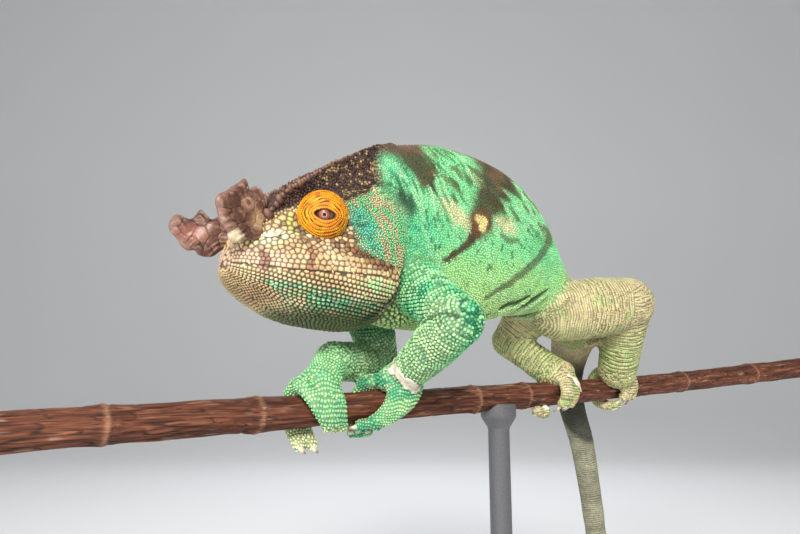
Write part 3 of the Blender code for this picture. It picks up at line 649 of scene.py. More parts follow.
def tailRows():
    rows = [list(row) for row in tailPath]
    startX, startY, startZ, thick, _ = tailPath[-1]
    first, last = curlForm["startRadius"], curlForm["endRadius"]
    for k in range(1, 23):
        share = k / 22
        angle = math.tau * curlForm["turns"] * share
        radius = between(first, last, share**0.8)
        size = between(thick, curlForm["tip"], share**0.85)
        x, z = startX - first + radius * math.cos(angle), startZ - radius * math.sin(angle)
        rows.append([x, startY, z, size, size])
    return np.array(rows)


tailLine = smoothRows(tailRows(), np.linspace(0, 30, 420))
tailLengths = arcLengths(tailLine[:, :3])


# One half of the head's sections at each x, from the top (column 0) to the throat (column 10)
def headPoints(xs, columns, side=1):
    xs = np.asarray(xs, float)
    place = np.interp(xs, headStations, np.arange(len(headStations)))
    rows = smoothRows(np.array([headCurves[key] for key in headCurves]).T, place)
    made = []
    for x, row in zip(xs, rows):
        top, crestY, crestZ, hollow, cheekY, cheekZ, lipY, lipZ, jawY, jawZ, throat = row
        controls = np.array((
            (0.0, top),
            (crestY * 0.55, top + 0.25 * (crestZ - top)),
            (crestY, crestZ),
            (crestY + 0.45 * (cheekY - crestY) - hollow, crestZ + 0.42 * (cheekZ - crestZ)),
            (cheekY, cheekZ),
            (lipY * 0.985, lipZ + 0.35 * (cheekZ - lipZ)),
            (lipY, lipZ),
            (lipY * 0.5 + jawY * 0.5 + 0.0008, 0.5 * (lipZ + jawZ)),
            (jawY, jawZ),
            (jawY * 0.62, throat + 0.3 * (jawZ - throat)),
            (0.0, throat),
        ))
        half = smoothRows(controls, columns)
        back = max(0.0, (x - headStations[0]) / (headStations[-1] - headStations[0]))
        lean = headForm["tilt"] * back**1.5
        z = half[:, 1]
        shifted = x + lean * (z - headForm["tiltHeight"])
        made.append(np.stack((shifted, side * np.maximum(half[:, 0], 0.0), z), -1))
    return np.array(made)


def headRings():
    columns = np.linspace(0, 10, 81)
    snout, rest = np.linspace(headStations[0], -0.058, 16), np.linspace(-0.058, headStations[-1], 70)
    xs = np.concatenate((snout, rest[1:]))
    near, far = headPoints(xs, columns, 1), headPoints(xs, columns[1:-1][::-1], -1)
    return np.concatenate((near, far), 1)


def limbRings(name):
    form = limbForm[name]
    root, bend, end = (np.array(form[key]) for key in ("root", "bend", "end"))
    shares = np.linspace(0, 1, 28)[:, None]
    made = []
    for start, finish, sizes in ((root, bend, form["radii"][:3]), (bend, end, form["radii"][3:])):
        widths = np.interp(shares[:, 0], (0, 0.5, 1), sizes)
        made.append(tubeRings(between(start, finish, shares), widths, widths, 40, up=(0.1, 0.2, 1)))
    return made


# Middle of a bundle of toes at t, its outward direction and its half width and height
def bundlePlace(values, t):
    _, xs, angles, widths, lift = values
    t = np.asarray(t, float)
    x = between(*xs, t**1.4)
    angle = between(*angles, 1 - (1 - t) ** 1.4)
    width = between(*widths, t)
    height = between(toeForm["rootHeight"], toeForm["tipHeight"], t)
    spot = aroundBranch(x, angle, branchRadius(x) + 0.0003 + height * 0.97 + lift * t**3)
    out = spot - branchCentre(x)
    return spot, out / norm(out, axis=-1, keepdims=True), width / 2, height


def bundleRings(values, steps=44, around=56):
    turns = fullTurn(around)
    across, lift = np.cos(turns), np.sin(turns)
    groove = (0.5 + 0.5 * np.cos(math.pi * values[0] * (across + 1))) ** 2
    inner = np.abs(across) < 0.94
    rings = []
    for t in 0.9 * np.linspace(0, 1, steps):
        spot, out, width, height = bundlePlace(values, t)
        deep = 1 - toeForm["groove"] * groove * inner * (0.35 + 0.65 * t)
        high = np.maximum(np.where(lift > 0, lift * deep, lift), -0.88)
        rings.append(spot + np.outer(across * width, (1, 0, 0)) + np.outer(high * height, out))
    return np.array(rings)


# Where each toe of a bundle ends: its middle, its way ahead and its size
def toeEnds(values):
    toes = values[0]
    ends = []
    for toe in range(toes):
        share = toe - (toes - 1) / 2
        reach = 0.97 - 0.05 * abs(share)
        before = bundlePlace(values, reach - 0.1)[0]
        spot, _, width, height = bundlePlace(values, reach)
        ahead = (spot - before) / norm(spot - before)
        ends.append((spot + np.array((share * 2 * width / toes, 0, 0)), ahead, width / toes, height))
    return ends


def footParts(name):
    form = footForm[name]
    palmX, palmAngle = form["palm"]
    spot = aroundBranch(palmX, palmAngle, branchRadius(palmX) + palmRadii[2] * 0.8)
    end = np.array(limbForm[form["limb"]]["end"])
    parts = [ballRings(spot, palmRadii, 32, 20)]
    path = between(end, spot, np.linspace(-0.1, 1.0, 10)[:, None])
    sizes = np.linspace(limbForm[form["limb"]]["radii"][-1] * 0.98, palmRadii[1] * 0.9, 10)
    parts.append(tubeRings(path, sizes, sizes, 36))
    for bundle in ("front", "back"):
        parts.append(bundleRings(form[bundle]))
        for middle, _, width, height in toeEnds(form[bundle]):
            parts.append(ballRings(middle, (width * 0.96, height * 0.95, height * 0.95), 20, 12))
    return parts


# The skin's shade is the painted shade of the bare skin between the scales, as a share of its colour
skinForm = {
    "voxel": 0.00095, "coatDepth": 0.00034, "smoothRounds": 10, "weldRounds": 16, "shade": 0.42,
    "scaleMap": 0.0015,
}
partNames = ["head", "trunk", "tail", *limbForm, *footForm]


def isPart(labels, *names):
    return np.isin(labels, [partNames.index(name) for name in names])


def tailRings():
    points, widths, heights = tailLine[:, :3], tailLine[:, 3], tailLine[:, 4]
    return tubeRings(points, widths, heights, 40, up=(0, 1, 0), roundEnds=(False, True))


def fleshParts():
    yield "head", headRings()
    yield "trunk", trunkRings()
    yield "tail", tailRings()
    for name in limbForm:
        for rings in limbRings(name):
            yield name, rings
    for name in footForm:
        for rings in footParts(name):
            yield name, rings


def makeFlesh():
    meshes, labels = [], []
    for name, rings in fleshParts():
        points, faces = ringMesh(rings)
        meshes.append((points, faces))
        labels += [partNames.index(name)] * len(points)
    points, faces = joinMeshes(meshes)
    nearest = treeOf(points)
    size = skinForm["voxel"] * 1.0
    mesh = remeshed(meshObject("flesh", points, faces), size)
    points, edges, triangles = readMesh(mesh)
    labels = np.array(labels)[[nearest.find(point)[1] for point in points]]
    points = relax(points, edges, 1.0, skinForm["smoothRounds"], push=0.52)
    # Where two forms meet, and at the casque's tip, the skin is drawn smooth
    welds = clamp(seamMarks(labels, edges, 5, 0.96) * 1.4) * np.where(isPart(labels, *footForm), 0.35, 1.0)
    points = relax(points, edges, welds, skinForm["weldRounds"])
    peak = isPart(labels, "head") * rise(points[:, 2], 0.097, 0.1)
    points = relax(points, edges, peak, skinForm["weldRounds"])
    print("flesh", len(points), len(triangles))
    return mesh, points, edges, triangles, labels


skinMesh, skinPoints, skinEdges, skinTriangles, skinLabels = makeFlesh()


# How far along a limb or the tail each point lies, in metres
def limbPlace(points, name):
    root, bend, end = (np.array(limbForm[name][key]) for key in ("root", "bend", "end"))
    upper, upperGap = beside(points, root, bend, -0.3, 1.3)
    lower, lowerGap = beside(points, bend, end, -0.3, 1.3)
    length = norm(bend - root)
    return np.where(lowerGap < upperGap, length + lower * norm(end - bend), upper * length)


def tailPlace(points):
    tree = treeOf(tailLine[:, :3])
    return tailLengths[[tree.find(point)[1] for point in points]]


# How near each point's (x, z) in mm is to a path of (x, z, half width) in mm: 1 inside, 0 well outside
def stroke(flat, path, soft):
    best = np.zeros(len(flat))
    path = np.array(path, float)
    for first, second in zip(path[:-1], path[1:]):
        share, gap = beside(flat, first[:2], second[:2])
        half = between(first[2], second[2], share)
        best = np.maximum(best, 1 - rise(gap, half * (1 - soft), half * (1 + soft)))
    return best


def patch(flat, centre, radii, turn=0.0, soft=0.5):
    gap = flat - np.array(centre)
    cos, sin = math.cos(math.radians(turn)), math.sin(math.radians(turn))
    a = (gap[:, 0] * cos + gap[:, 1] * sin) / radii[0]
    b = (gap[:, 1] * cos - gap[:, 0] * sin) / radii[1]
    return 1 - rise(np.hypot(a, b), 1 - soft, 1 + soft)


# Folds and wrinkles, as a push along the skin's normal
bellyFolds = (
    ((52, 38.6, 0.7), (57, 40.8, 1.0), (62, 41.6, 0.9), (69, 45.0, 0.4)),
    ((66.5, 40.2, 0.8), (73, 43.6, 1.1), (77, 46.4, 0.8), (81, 49.0, 0.4)),
    ((78, 36.5, 0.8), (86, 41, 0.9), (90, 46, 0.3)),
)
throatFolds = (
    ((-11, 47, 0.5), (-8, 40, 0.9), (-12, 33, 0.7)),
    ((-6.5, 52, 0.4), (-4.5, 44, 0.8), (-7, 36, 0.6)),
    ((-46, 35.5, 0.4), (-36, 32.5, 1.0), (-24, 32.0, 1.2), (-12, 36, 0.7)),
)
foldForm = {
    "limb": 0.00034, "limbStep": 0.0022, "tail": 0.0001, "tailStep": 0.0021, "belly": 0.0011,
    "throat": 0.0007,
}


def foldSkin(points, labels):
    push = np.zeros(len(points))
    for name in limbForm:
        here = isPart(labels, name)
        some = points[here]
        strength = rise(cloud(some, 9 * mm, 35), 0.1, 0.6) * rise(limbPlace(some, name), 0.004, 0.012)
        push[here] += foldForm["limb"] * strength * np.minimum(2 * limbWave(some, name) - 1, 0.5)
    here = isPart(labels, "tail")
    push[here] += foldForm["tail"] * np.sin(math.tau * tailPlace(points[here]) / foldForm["tailStep"])
    flat = points[:, (0, 2)] / mm
    body = isPart(labels, "trunk", "leg_left", "leg_right")
    for path in bellyFolds:
        # Each fold is a groove with a roll of skin below it
        push -= foldForm["belly"] * stroke(flat, path, 0.7) * body
        lower = [(x + 0.5, z - 1.9, half * 1.2) for x, z, half in path]
        push += 0.8 * foldForm["belly"] * stroke(flat, lower, 0.7) * body
    neck = isPart(labels, "trunk", "head")
    for path in throatFolds:
        push -= foldForm["throat"] * stroke(flat, path, 0.8) * neck
    return push


# The coat's colours, with some painted shade, by place and part: the same on the skin and on its scales

ink = {
    "mint": (0.26, 0.84, 0.39), "turquoise": (0.07, 0.58, 0.33), "flank": (0.44, 0.86, 0.34),
    "lime": (0.62, 0.9, 0.35), "pale": (0.55, 0.93, 0.56), "cream": (0.8, 0.78, 0.46),
    "band": (0.072, 0.044, 0.018), "rust": (0.17, 0.055, 0.03), "umber": (0.13, 0.13, 0.045),
    "ridge": (0.2, 0.115, 0.085), "olive": (0.055, 0.2, 0.06), "spot": (0.95, 0.8, 0.34),
    "pine": (0.02, 0.07, 0.03), "legCream": (0.54, 0.47, 0.27), "legGreen": (0.28, 0.46, 0.15),
    "armGreen": (0.16, 0.64, 0.3), "armDark": (0.01, 0.22, 0.1), "handGreen": (0.34, 0.68, 0.32),
    "handTeal": (0.05, 0.42, 0.22), "tan": (0.52, 0.35, 0.17), "bone": (0.68, 0.53, 0.32),
    "lipPink": (0.62, 0.42, 0.31), "lipBrown": (0.22, 0.085, 0.055), "casque": (0.064, 0.032, 0.025),
    "net": (0.55, 0.38, 0.17), "plum": (0.022, 0.009, 0.012), "teal": (0.13, 0.66, 0.46),
    "jawGreen": (0.06, 0.42, 0.22), "chin": (0.1, 0.17, 0.045), "paleSkin": (0.74, 0.72, 0.47),
    "tailCream": (0.32, 0.32, 0.235), "tailShadow": (0.06, 0.066, 0.05), "fold": (0.24, 0.095, 0.035),
    "pad": (0.6, 0.42, 0.3),
}
ink = {name: np.array(colour) for name, colour in ink.items()}
# Markings and a few strokes of painted shade in the side view: x and z in millimetres, with half widths or
# radii
markForm = {
    # Each band's name, how ragged its edge is and how strong its tone
    "bands": (
        ("napeBand", 1, 0.93), ("backBand", 1, 0.93), ("backLine", 0.25, 0.93), ("rearBand", 0.25, 0.7),
    ),
    "napeBand": ((4, 103, 10), (6, 95, 7.5), (8, 87, 5.2), (7, 79, 1.5)),
    "backBand": (
        (53, 101, 11), (47, 93, 8.5), (41, 86, 6.6), (36, 79, 6.0), (32, 73, 5.0), (29, 67.5, 3.8),
        (26, 62.5, 1.8),
    ),
    "backLine": ((29, 67, 3.0), (26, 62.5, 1.8), (21, 58.5, 1.3), (14.3, 53.7, 0.9)),
    "rearBand": (
        (82, 76, 3.4), (74, 66.5, 2.2), (65.1, 58.2, 1.8), (57.3, 53, 1.6), (49, 47.8, 1.4), (38, 42, 0.9),
    ),
    "arc": ((41, 66.5, 0.8), (46, 64.6, 1.3), (52, 65.8, 0.7)),
    "spotLobes": ((29.4, 71.2, 1.8), (32.0, 70.6, 2.0), (31.0, 68.0, 1.9)),
    "patches": (
        ("cream", (19.0, 71.5), (8.2, 3.6), -34, 0.9), ("cream", (45.0, 70.8), (6.8, 3.9), -16, 0.92),
        ("cream", (33.0, 88.0), (3.6, 2.2), -40, 0.45), ("pine", (-2.6, 73.6), (5.2, 3.8), -30, 0.92),
        ("umber", (19.5, 83.0), (4.0, 1.8), -52, 0.8), ("umber", (2.0, 50.5), (4.4, 2.0), 12, 0.7),
        ("umber", (-8.5, 54.0), (1.8, 1.8), 0, 0.7), ("rust", (17.5, 54.5), (2.0, 1.3), 0, 0.65),
    ),
    "mouthFold": ((-33, 51.4, 0.8), (-28, 49.4, 1.7), (-22, 47.2, 1.9), (-14.5, 45.8, 1.5)),
    "jawSweep": ((-57, 39, 0.8), (-50, 36.8, 1.7), (-44, 34.6, 2.4), (-33, 32.6, 3.0), (-20, 31.8, 3.4)),
    # Painted shadow along the jaw's rear edge
    "jawRearShadow": ((-10.5, 41, 0.8), (-13.0, 35, 1.5), (-20, 29.5, 1.4)),
    "throatZone": ((-10, 45, 3.0), (-6, 36, 6.0), (0, 31, 5.5)),
    # Painted shade in the crease of the left arm
    "armCreaseShade": ((-5.5, 27.6, 0.3), (-8.3, 28.9, 0.7), (-9.7, 29.8, 0.6)),
    "legLine": ((88, 38.5, 0.6), (102, 39.6, 0.8), (114, 40.6, 0.4)),
    # Where the brown of the brow and casque begins: x values and their heights
    "brownFrom": ((-66, -52, -45, -38, -31, -20, -13), (52, 62, 65.5, 68.5, 67.0, 73.5, 78.0)),
}


def bodyColour(p):
    flat = p[:, (0, 2)]
    x, z = flat.T
    # Streaks run steeply down at the nape and flatter towards the hips
    front = np.exp(-np.maximum(x, -8) / 14)
    slope = 0.62 + 1.5 * front
    across = (z + 0.62 * x - 21 * front) / np.hypot(1, slope)
    along = (x - slope * z) / np.hypot(1, slope)
    side = p[:, 1] / 9 + np.sign(p[:, 1]) * 3.7

    def streaks(long, wide, seed):
        return cloud(np.stack((along / long, across / wide, side), -1), 1.0, seed)

    streak = 0.6 * streaks(9, 2.4, 41) + 0.4 * streaks(4, 1.1, 43)
    blots, fleck = streaks(5.5, 3.4, 47), streaks(2.3, 1.25, 49)
    rag = flat + np.stack(((streak - 0.5) * 7, (blots - 0.5) * 6), -1)
    high = rise(z, 62, 76)
    thin = 0.1 * patch(flat, (6, 62), (14, 12))
    blue = clamp(patch(rag, (-2, 60), (14, 14)) + patch(rag, (-4, 88), (8, 13)))
    layers = [
        (ink["mint"], rise(z + 6 * (blots - 0.5), 48, 64)),
        (ink["lime"], 0.75 * (1 - rise(z, 36, 50))),
        (ink["turquoise"], blue * (0.35 + 0.5 * rise(fleck, 0.35, 0.65))),
        (ink["pale"], rise(streak, 0.5, 0.72) * (0.3 + 0.45 * high)),
        (ink["olive"], rise(1 - streak, 0.56, 0.7) * high * 0.8),
        (ink["umber"], rise(blots, 0.6, 0.76) * rise(z, 66, 76) * rise(x, 8, 16) * 0.75),
        (ink["olive"] * 0.8, 0.8 * rise(fleck, 0.76 - thin, 0.88 - thin) * (1 - 0.6 * rise(x, 60, 80))),
    ]
    for mark, centre, radii, turn, strength in markForm["patches"]:
        layers.append((ink[mark], strength * patch(rag, centre, radii, turn, 0.55)))
    layers.append((ink["umber"], 0.7 * stroke(flat, markForm["arc"], 0.7)))
    bandTone = blend(ink["band"], ink["rust"], rise(cloud(p, 6, 53), 0.45, 0.8))
    for name, ragged, strength in markForm["bands"]:
        mask = stroke(flat + ragged * (rag - flat), markForm[name], 0.6)
        layers.append((bandTone, clamp(mask * 1.2) * strength))
    layers.append((ink["fold"], 0.7 * patch(flat, (30.7, 69.6), (6.2, 5.4), 0, 0.6)))
    for spotX, spotZ, size in markForm["spotLobes"]:
        layers.append((ink["spot"], patch(flat, (spotX, spotZ), (size, size), 0, 0.25)))
    ridgeZ = np.interp(x, *np.array([(row[0] / mm, row[1] / mm) for row in trunkRows]).T)
    depth = 1.4 + 4.6 * (rise(x, 30, 44) + (1 - rise(x, 10, 16))) + 5 * (streak - 0.5)
    layers.append((ink["ridge"], 0.85 * clamp(1 - rise(ridgeZ - z, 0.4 * depth, depth + 1))))
    # Below each belly fold a pale roll of skin, and in the fold itself painted shade
    for path in bellyFolds:
        lower = [(a + 0.5, b - 2.4, c * 1.5) for a, b, c in path]
        layers.append((ink["pale"] * (1.1, 0.95, 0.9), 0.6 * stroke(flat, lower, 0.5)))
        layers.append((ink["pine"] * 0.7, 0.85 * stroke(flat, path, 0.5)))
    return layered(
        ink["flank"], *layers, (ink["cream"] * 0.9, 0.65 * throatZone(p) * rise(fleck, 0.3, 0.6)),
        (ink["legCream"] * (0.9, 1.02, 0.85), 0.85 * rise(x - 0.35 * (z - 45), 82, 97)),
    )


def headColour(p):
    flat = p[:, (0, 2)]
    x, z = flat.T
    width = np.abs(p[:, 1])
    crestZ, mouthZ = (
        np.interp(x, headStations / mm, np.array(headCurves[key]) / mm) for key in ("crestZ", "lipZ")
    )
    cells, blotch, fine = cloud(p, 1.5, 51), cloud(p, 3.4, 53), cloud(p, 0.9, 55)
    down = mouthZ - z
    wet = stroke(flat + (blotch - 0.5)[:, None] * 2.4, markForm["jawSweep"], 0.55)
    lips = rise(z, mouthZ - 1.2, mouthZ + 0.6) * (1 - rise(z, mouthZ + 4.6, mouthZ + 6.4))
    layers = [
        (ink["bone"], 0.15 + 0.6 * rise(blotch, 0.35, 0.75)),
        # Under the mouth: cream beads, a green sweep along the jaw, olive under the chin darkened with
        # painted shade, and painted shadow along the jaw's rear edge
        (ink["jawGreen"], 0.8 * wet * (0.35 + 0.65 * rise(cells, 0.3, 0.6))),
        (ink["pale"], 0.35 * wet * rise(fine, 0.5, 0.8)),
        (ink["mint"] * 0.9, 0.55 * patch(flat, (-20, 39.5), (9, 3.0)) * rise(cells, 0.35, 0.6)),
        (ink["cream"] * 0.85, 0.55 * rise(down, 5.0, 8.0) * (1 - wet) * rise(x, -55, -45)),
        (ink["lipBrown"] * 1.1, 0.42 * rise(down, 4.0, 8.0) * (1 - rise(x, -58, -48))),
        (ink["chin"] * 0.55, rise(down + 2 * (blotch - 0.5), 8.6, 13.0) * 0.92),
        (ink["pine"] * 0.8, 0.85 * stroke(flat, markForm["jawRearShadow"], 0.8)),
        # Lips: pinkish at the front with two dull red bars
        (ink["lipPink"], 0.75 * lips * (1 - rise(x, -58, -47))),
    ]
    for middle, half in ((-58.6, 1.0), (-46.0, 1.1)):
        bar = 1 - rise(np.abs(x - middle + 1.2 * (cells - 0.5)), half * 0.5, half * 1.5)
        bar = bar * (1 - rise(z, mouthZ + 7, mouthZ + 9)) * rise(z, mouthZ - 2.4, mouthZ - 0.4)
        layers.append((ink["lipBrown"], 0.8 * bar))
    around = patch(flat, (-38.5, 59.5), (14.5, 12.0)) * rise(z, mouthZ + 6, mouthZ + 8)
    # Brown top of the snout, brow and casque: warts in a tan net, plum spots near the peak
    floor = np.interp(x, *markForm["brownFrom"])
    upper = rise(z + 1.6 * (blotch - 0.5), floor - 0.8, floor + 1.2)
    net = np.abs(cloud(p, 2.0, 57) - 0.5) + 0.6 * np.abs(cloud(p, 1.1, 59) - 0.5)
    warty = rise(x, -42, -35) * (1 - rise(z - crestZ, -2.6, -0.8))
    brown = layered(
        ink["casque"], (ink["casque"] * 1.7, rise(cells, 0.4, 0.8)),
        (ink["net"], warty * (1 - rise(net, 0.08, 0.2)) * 0.75),
        (ink["plum"], warty * rise(cloud(p, 1.7, 61), 0.54, 0.66) * rise(x + 0.45 * (z - 75), -30, -14)),
    )
    # Behind the turret a teal patch, then cream streaks down the head's rear edge
    streaky = cloud(np.stack((x + 0.25 * z, p[:, 1] * 0.5, z * 0.14), -1), 1.05, 65)
    rear = rise(x + 0.1 * (z - 55), -29, -25) * (1 - upper) * rise(z, mouthZ + 3.5, mouthZ + 5.5)
    mottled = rise(cloud(np.stack((x * 0.9, p[:, 1], z * 0.5), -1), 1.6, 63), 0.22, 0.5)
    tealish = patch(flat + (blotch - 0.5)[:, None] * 2, (-24.0, 57.5), (5.0, 9.5), 8, 0.35) * (1 - upper)
    tealTone = layered(
        ink["teal"], (ink["teal"] * 0.35, rise(cells, 0.55, 0.8)),
        (ink["pale"] * 0.9, rise(fine, 0.45, 0.75) * (1 - rise(z, 50, 58))),
    )
    fold = stroke(flat + (cells - 0.5)[:, None], markForm["mouthFold"], 0.45)
    foldTone = blend(ink["fold"], ink["lipBrown"] * 0.4, rise(fine, 0.5, 0.7))
    return layered(
        ink["tan"], *layers,
        # Soft pale skin by the nostril, yellow-green before the turret, dark flecks under it
        (ink["paleSkin"], 0.85 * patch(flat, (-56.5, 52.6), (6.0, 2.5), 16) * rise(width, 8, 11)),
        ((0.42, 0.44, 0.1), 0.8 * patch(flat, (-48.6, 58.0), (2.4, 3.6))),
        (ink["lipBrown"] * 0.5, 0.85 * around * rise(cells, 0.5, 0.64)),
        (brown, upper), (blend(ink["bone"], ink["mint"] * 0.8, rise(streaky, 0.42, 0.58)), rear),
        (tealTone, tealish * (0.45 + 0.55 * mottled)),
        ((0.46, 0.28, 0.12), 0.75 * (1 - rise(np.abs(z - crestZ), 0.5, 1.8)) * rise(x, -22, -10)),
        (foldTone, 0.92 * fold * rise(width, 14, 17)),
    )


# The loose skin between the jaw and the left shoulder
def throatZone(p):
    return stroke(p[:, (0, 2)], markForm["throatZone"], 0.2) * (np.abs(p[:, 1]) < 30)


mouthTree = treeOf(np.vstack([
    headPoints(np.linspace(-0.065, -0.0165, 260), [headForm["mouthColumn"]], side)[:, 0] for side in (-1, 1)
]))


# How near each point is to the shut mouth: 1 on the line, 0 half a millimetre from it
def mouthLine(points):
    return 1 - rise(np.array([mouthTree.find(point)[2] for point in points]), 0.3 * mm, 0.8 * mm)


# How deep in a wrinkle of a limb each point lies: 1 on the ridge, 0 in the groove
def limbWave(points, name):
    wander = 0.9 * cloud(points, 10 * mm, 31) + 0.35 * cloud(points, 3.5 * mm, 33)
    return 0.5 + 0.5 * np.sin(math.tau * (limbPlace(points, name) / foldForm["limbStep"] + wander))


def armColour(p, groove, blotch, name):
    bend = np.array(limbForm[name]["bend"]) / mm
    cream = rise(cloud(p, 9, 73) * 7 - (p[:, 0] - bend[0]) - 0.5 * (p[:, 2] - bend[2]), 2, 11)
    if name == "arm_right":
        cream = rise(32 - p[:, 2], 3, 8)
    elbow = 1 - rise(norm(p - bend - np.array((4, -4, 2)), axis=1), 6.0, 13.0)
    crease = stroke(p[:, (0, 2)], markForm["armCreaseShade"], 0.7) * (name == "arm_left")
    return layered(
        ink["armGreen"], (ink["pale"] * (0.9, 0.92, 0.75), 0.66 * rise(blotch, 0.3, 0.65)),
        (ink["cream"] * 0.8, 0.45 * cream),
        # Painted shade: olive-dark over the far arm's upper part, dark green in the wrinkles' grooves and
        # near-black in the left arm's crease
        (ink["chin"], 0.75 * rise(p[:, 2], 22, 31) * (name == "arm_right")),
        (ink["armDark"] * 0.8, clamp(groove * (0.8 + 0.4 * elbow - 0.35 * cream))),
        (ink["armDark"], 0.6 * elbow * (1 - cream) * rise(cloud(p, 2.4, 75), 0.4, 0.6)),
        (ink["armDark"] * 0.25, 0.8 * crease),
    )


def limbColour(p, points, name):
    blotch = cloud(p, 5.5, 71)
    groove = rise(1 - limbWave(points, name), 0.5, 0.9)
    if name.startswith("arm"):
        return armColour(p, groove, blotch, name)
    shank = rise(42 - p[:, 2], 4, 18)
    line = stroke(p[:, (0, 2)], markForm["legLine"], 0.6) * (name == "leg_left")
    return layered(
        ink["legCream"], (ink["legGreen"], 0.4 * rise(blotch, 0.5, 0.85)),
        (ink["legGreen"], 0.4 * rise(p[:, 2], 52, 60)), (ink["legGreen"] * 1.2, 0.4 * shank),
        # Painted shade in the wrinkles' grooves, and a brown line along the left thigh
        (ink["legCream"] * 0.5, (0.16 + 0.25 * shank) * groove), ((0.42, 0.26, 0.1), 0.3 * line),
    )


def footColour(p, name):
    blotch, fine = cloud(p, 4.5, 81), cloud(p, 1.6, 83)
    if name.startswith("hand"):
        teal = rise(blotch, 0.3, 0.6) * (0.85 if name == "hand_left" else 0.35)
        lower = 0.85 * rise(-p[:, 2], 5, 9) * (name == "hand_right")
        tones = (ink["handTeal"], teal), (ink["cream"], 0.5 * rise(fine, 0.6, 0.85)), (ink["cream"], lower)
        colour = layered(ink["handGreen"], *tones)
    else:
        colour = blend(ink["legCream"], ink["legGreen"], 0.75 * rise(blotch, 0.45, 0.75))
        colour = blend(colour, ink["paleSkin"], 0.5 * rise(fine, 0.6, 0.85))
    # The side that grips the branch is pinkish and soft
    gap = norm(p - branchCentre(p[:, 0] * mm) / mm, axis=1) - branchRadius(p[:, 0] * mm) / mm
    return blend(colour, ink["pad"], 0.6 * (1 - rise(gap, 0.8, 2.2)))


def tailColour(p, points):
    along = tailPlace(points) / mm
    ring = 0.5 + 0.5 * np.sin(math.tau * along * mm / foldForm["tailStep"])
    band = (0.5 + 0.5 * np.sin(math.tau * along / 26)) * rise(along, 95, 130)
    # Painted shadow: past its pale root the upper tail is dark grey, its lower edge slanting so that one side
    # stays shaded farther down; the cream below is kept dim with painted shade too
    colour = blend(ink["tailShadow"], ink["tailCream"], rise(along + (p[:, 1] - 20.6) * 1.5, 60, 68))
    colour = blend(ink["legCream"] * 0.85, colour, rise(along, 12, 32))
    green = 0.65 * rise(band + 0.4 * (cloud(p, 4, 91) - 0.5), 0.5, 0.9)
    colour = blend(colour, ink["legGreen"] * 0.75, green)
    # Painted shade in the grooves between the tail's rings
    return blend(colour, colour * 0.5, 0.35 * rise(1 - ring, 0.6, 0.95))


def partColour(name, points):
    p = points / mm
    if name in limbForm:
        return limbColour(p, points, name)
    if name in footForm:
        return footColour(p, name)
    return tailColour(p, points) if name == "tail" else {"head": headColour, "trunk": bodyColour}[name](p)


def coatColour(points, labels):
    colour = np.zeros((len(points), 3))
    for name in partNames:
        here = isPart(labels, name)
        if here.any():
            colour[here] = partColour(name, points[here])
    return colour


# Over the skin's seams between parts, the colours of both sides run into each other
def softenSeams(colour, labels, edges):
    seam = clamp(seamMarks(labels, edges, 4, 0.98))
    for _ in range(9):
        colour = between(colour, neighbourMean(colour, edges), seam[:, None])
    return colour


def skinFinish(name, roughness, bumpSize=0.00025):
    tones = ((0.3, (0.84, 0.84, 0.84)), (0.7, (1.14, 1.13, 1.1)))
    grain, mottle, bump = (1500.0, 3.0, 0.6), (260.0, 4.0), (0.35, bumpSize)
    return paintedFinish(name, tones, grain, roughness, 0.22, mottle, bump, specular_ior_level=0.42)


def makeSkin():
    global skinPoints
    normals = vertexNormals(skinPoints, skinTriangles)
    push = foldSkin(skinPoints, skinLabels) - skinForm["coatDepth"]
    skinPoints = skinPoints + normals * push[:, None]
    skinPoints = relax(skinPoints, skinEdges, 0.25, 2)
    putPoints(skinMesh, skinPoints)
    colour = softenSeams(coatColour(skinPoints, skinLabels), skinLabels, skinEdges)
    # Painted shade: the bare skin between the scales is darkened, most along the shut mouth, over the throat
    # and over the head, more still under the jaw
    shade = skinForm["shade"] * (1 - 0.85 * mouthLine(skinPoints))
    shade *= 1 - 0.62 * throatZone(skinPoints / mm)
    shade *= 1 - (0.4 + 0.3 * (skinPoints[:, 2] < 0.041)) * isPart(skinLabels, "head")
    putColours(skinMesh, colour * shade[:, None])
    skinMesh.shade_smooth()
    obj = newObject("skin", skinMesh, skinFinish("bare_skin", 0.55))
    bpy.context.view_layer.objects.active = obj
    obj.select_set(True)
    bpy.ops.object.mode_set(mode="EDIT")
    bpy.ops.mesh.select_all(action="SELECT")
    bpy.ops.uv.smart_project(angle_limit=math.radians(66), island_margin=0.003)
    bpy.ops.object.mode_set(mode="OBJECT")
    skinMesh.uv_layers[0].name = "skinMap"
    obj.select_set(False)
    print("skin", len(skinPoints), len(skinTriangles))
    return obj, colour


skin, skinColours = makeSkin()
skinTree = BVHTree.FromPolygons(skinPoints.tolist(), skinTriangles.tolist())
skinNear = treeOf(skinPoints)


# The scales: domes set on the skin by Geometry Nodes, some in rows and the rest scattered

def domeShape(name, sides, rows):
    points = [(r * math.cos(a), r * math.sin(a), h) for r, h in rows for a in fullTurn(sides)]
    faces = [tuple(range(sides))[::-1]]
    for row in range(len(rows) - 1):
        for k in range(sides):
            a, b = row * sides + k, row * sides + (k + 1) % sides
            faces.append((a, b, b + sides, a + sides))
    last = (len(rows) - 1) * sides
    faces += [(last + k, last + (k + 1) % sides, len(points)) for k in range(sides)]
    points.append((0, 0, 1.0))
    obj = meshObject(name, points, faces)
    obj.hide_render = True
    return obj, np.array(points)


scaleShapes = {
    "cone": domeShape("cone_shape", 6, ((1.0, -0.3),)),
    "grain": domeShape("grain_shape", 6, ((1.0, -0.55), (0.74, 0.66))),
    "plate": domeShape("plate_shape", 10, ((1.0, -0.6), (0.85, 0.35), (0.56, 0.88))),
    "bead": domeShape("bead_shape", 8, ((1.0, -0.6), (0.8, 0.32), (0.5, 0.85))),
}


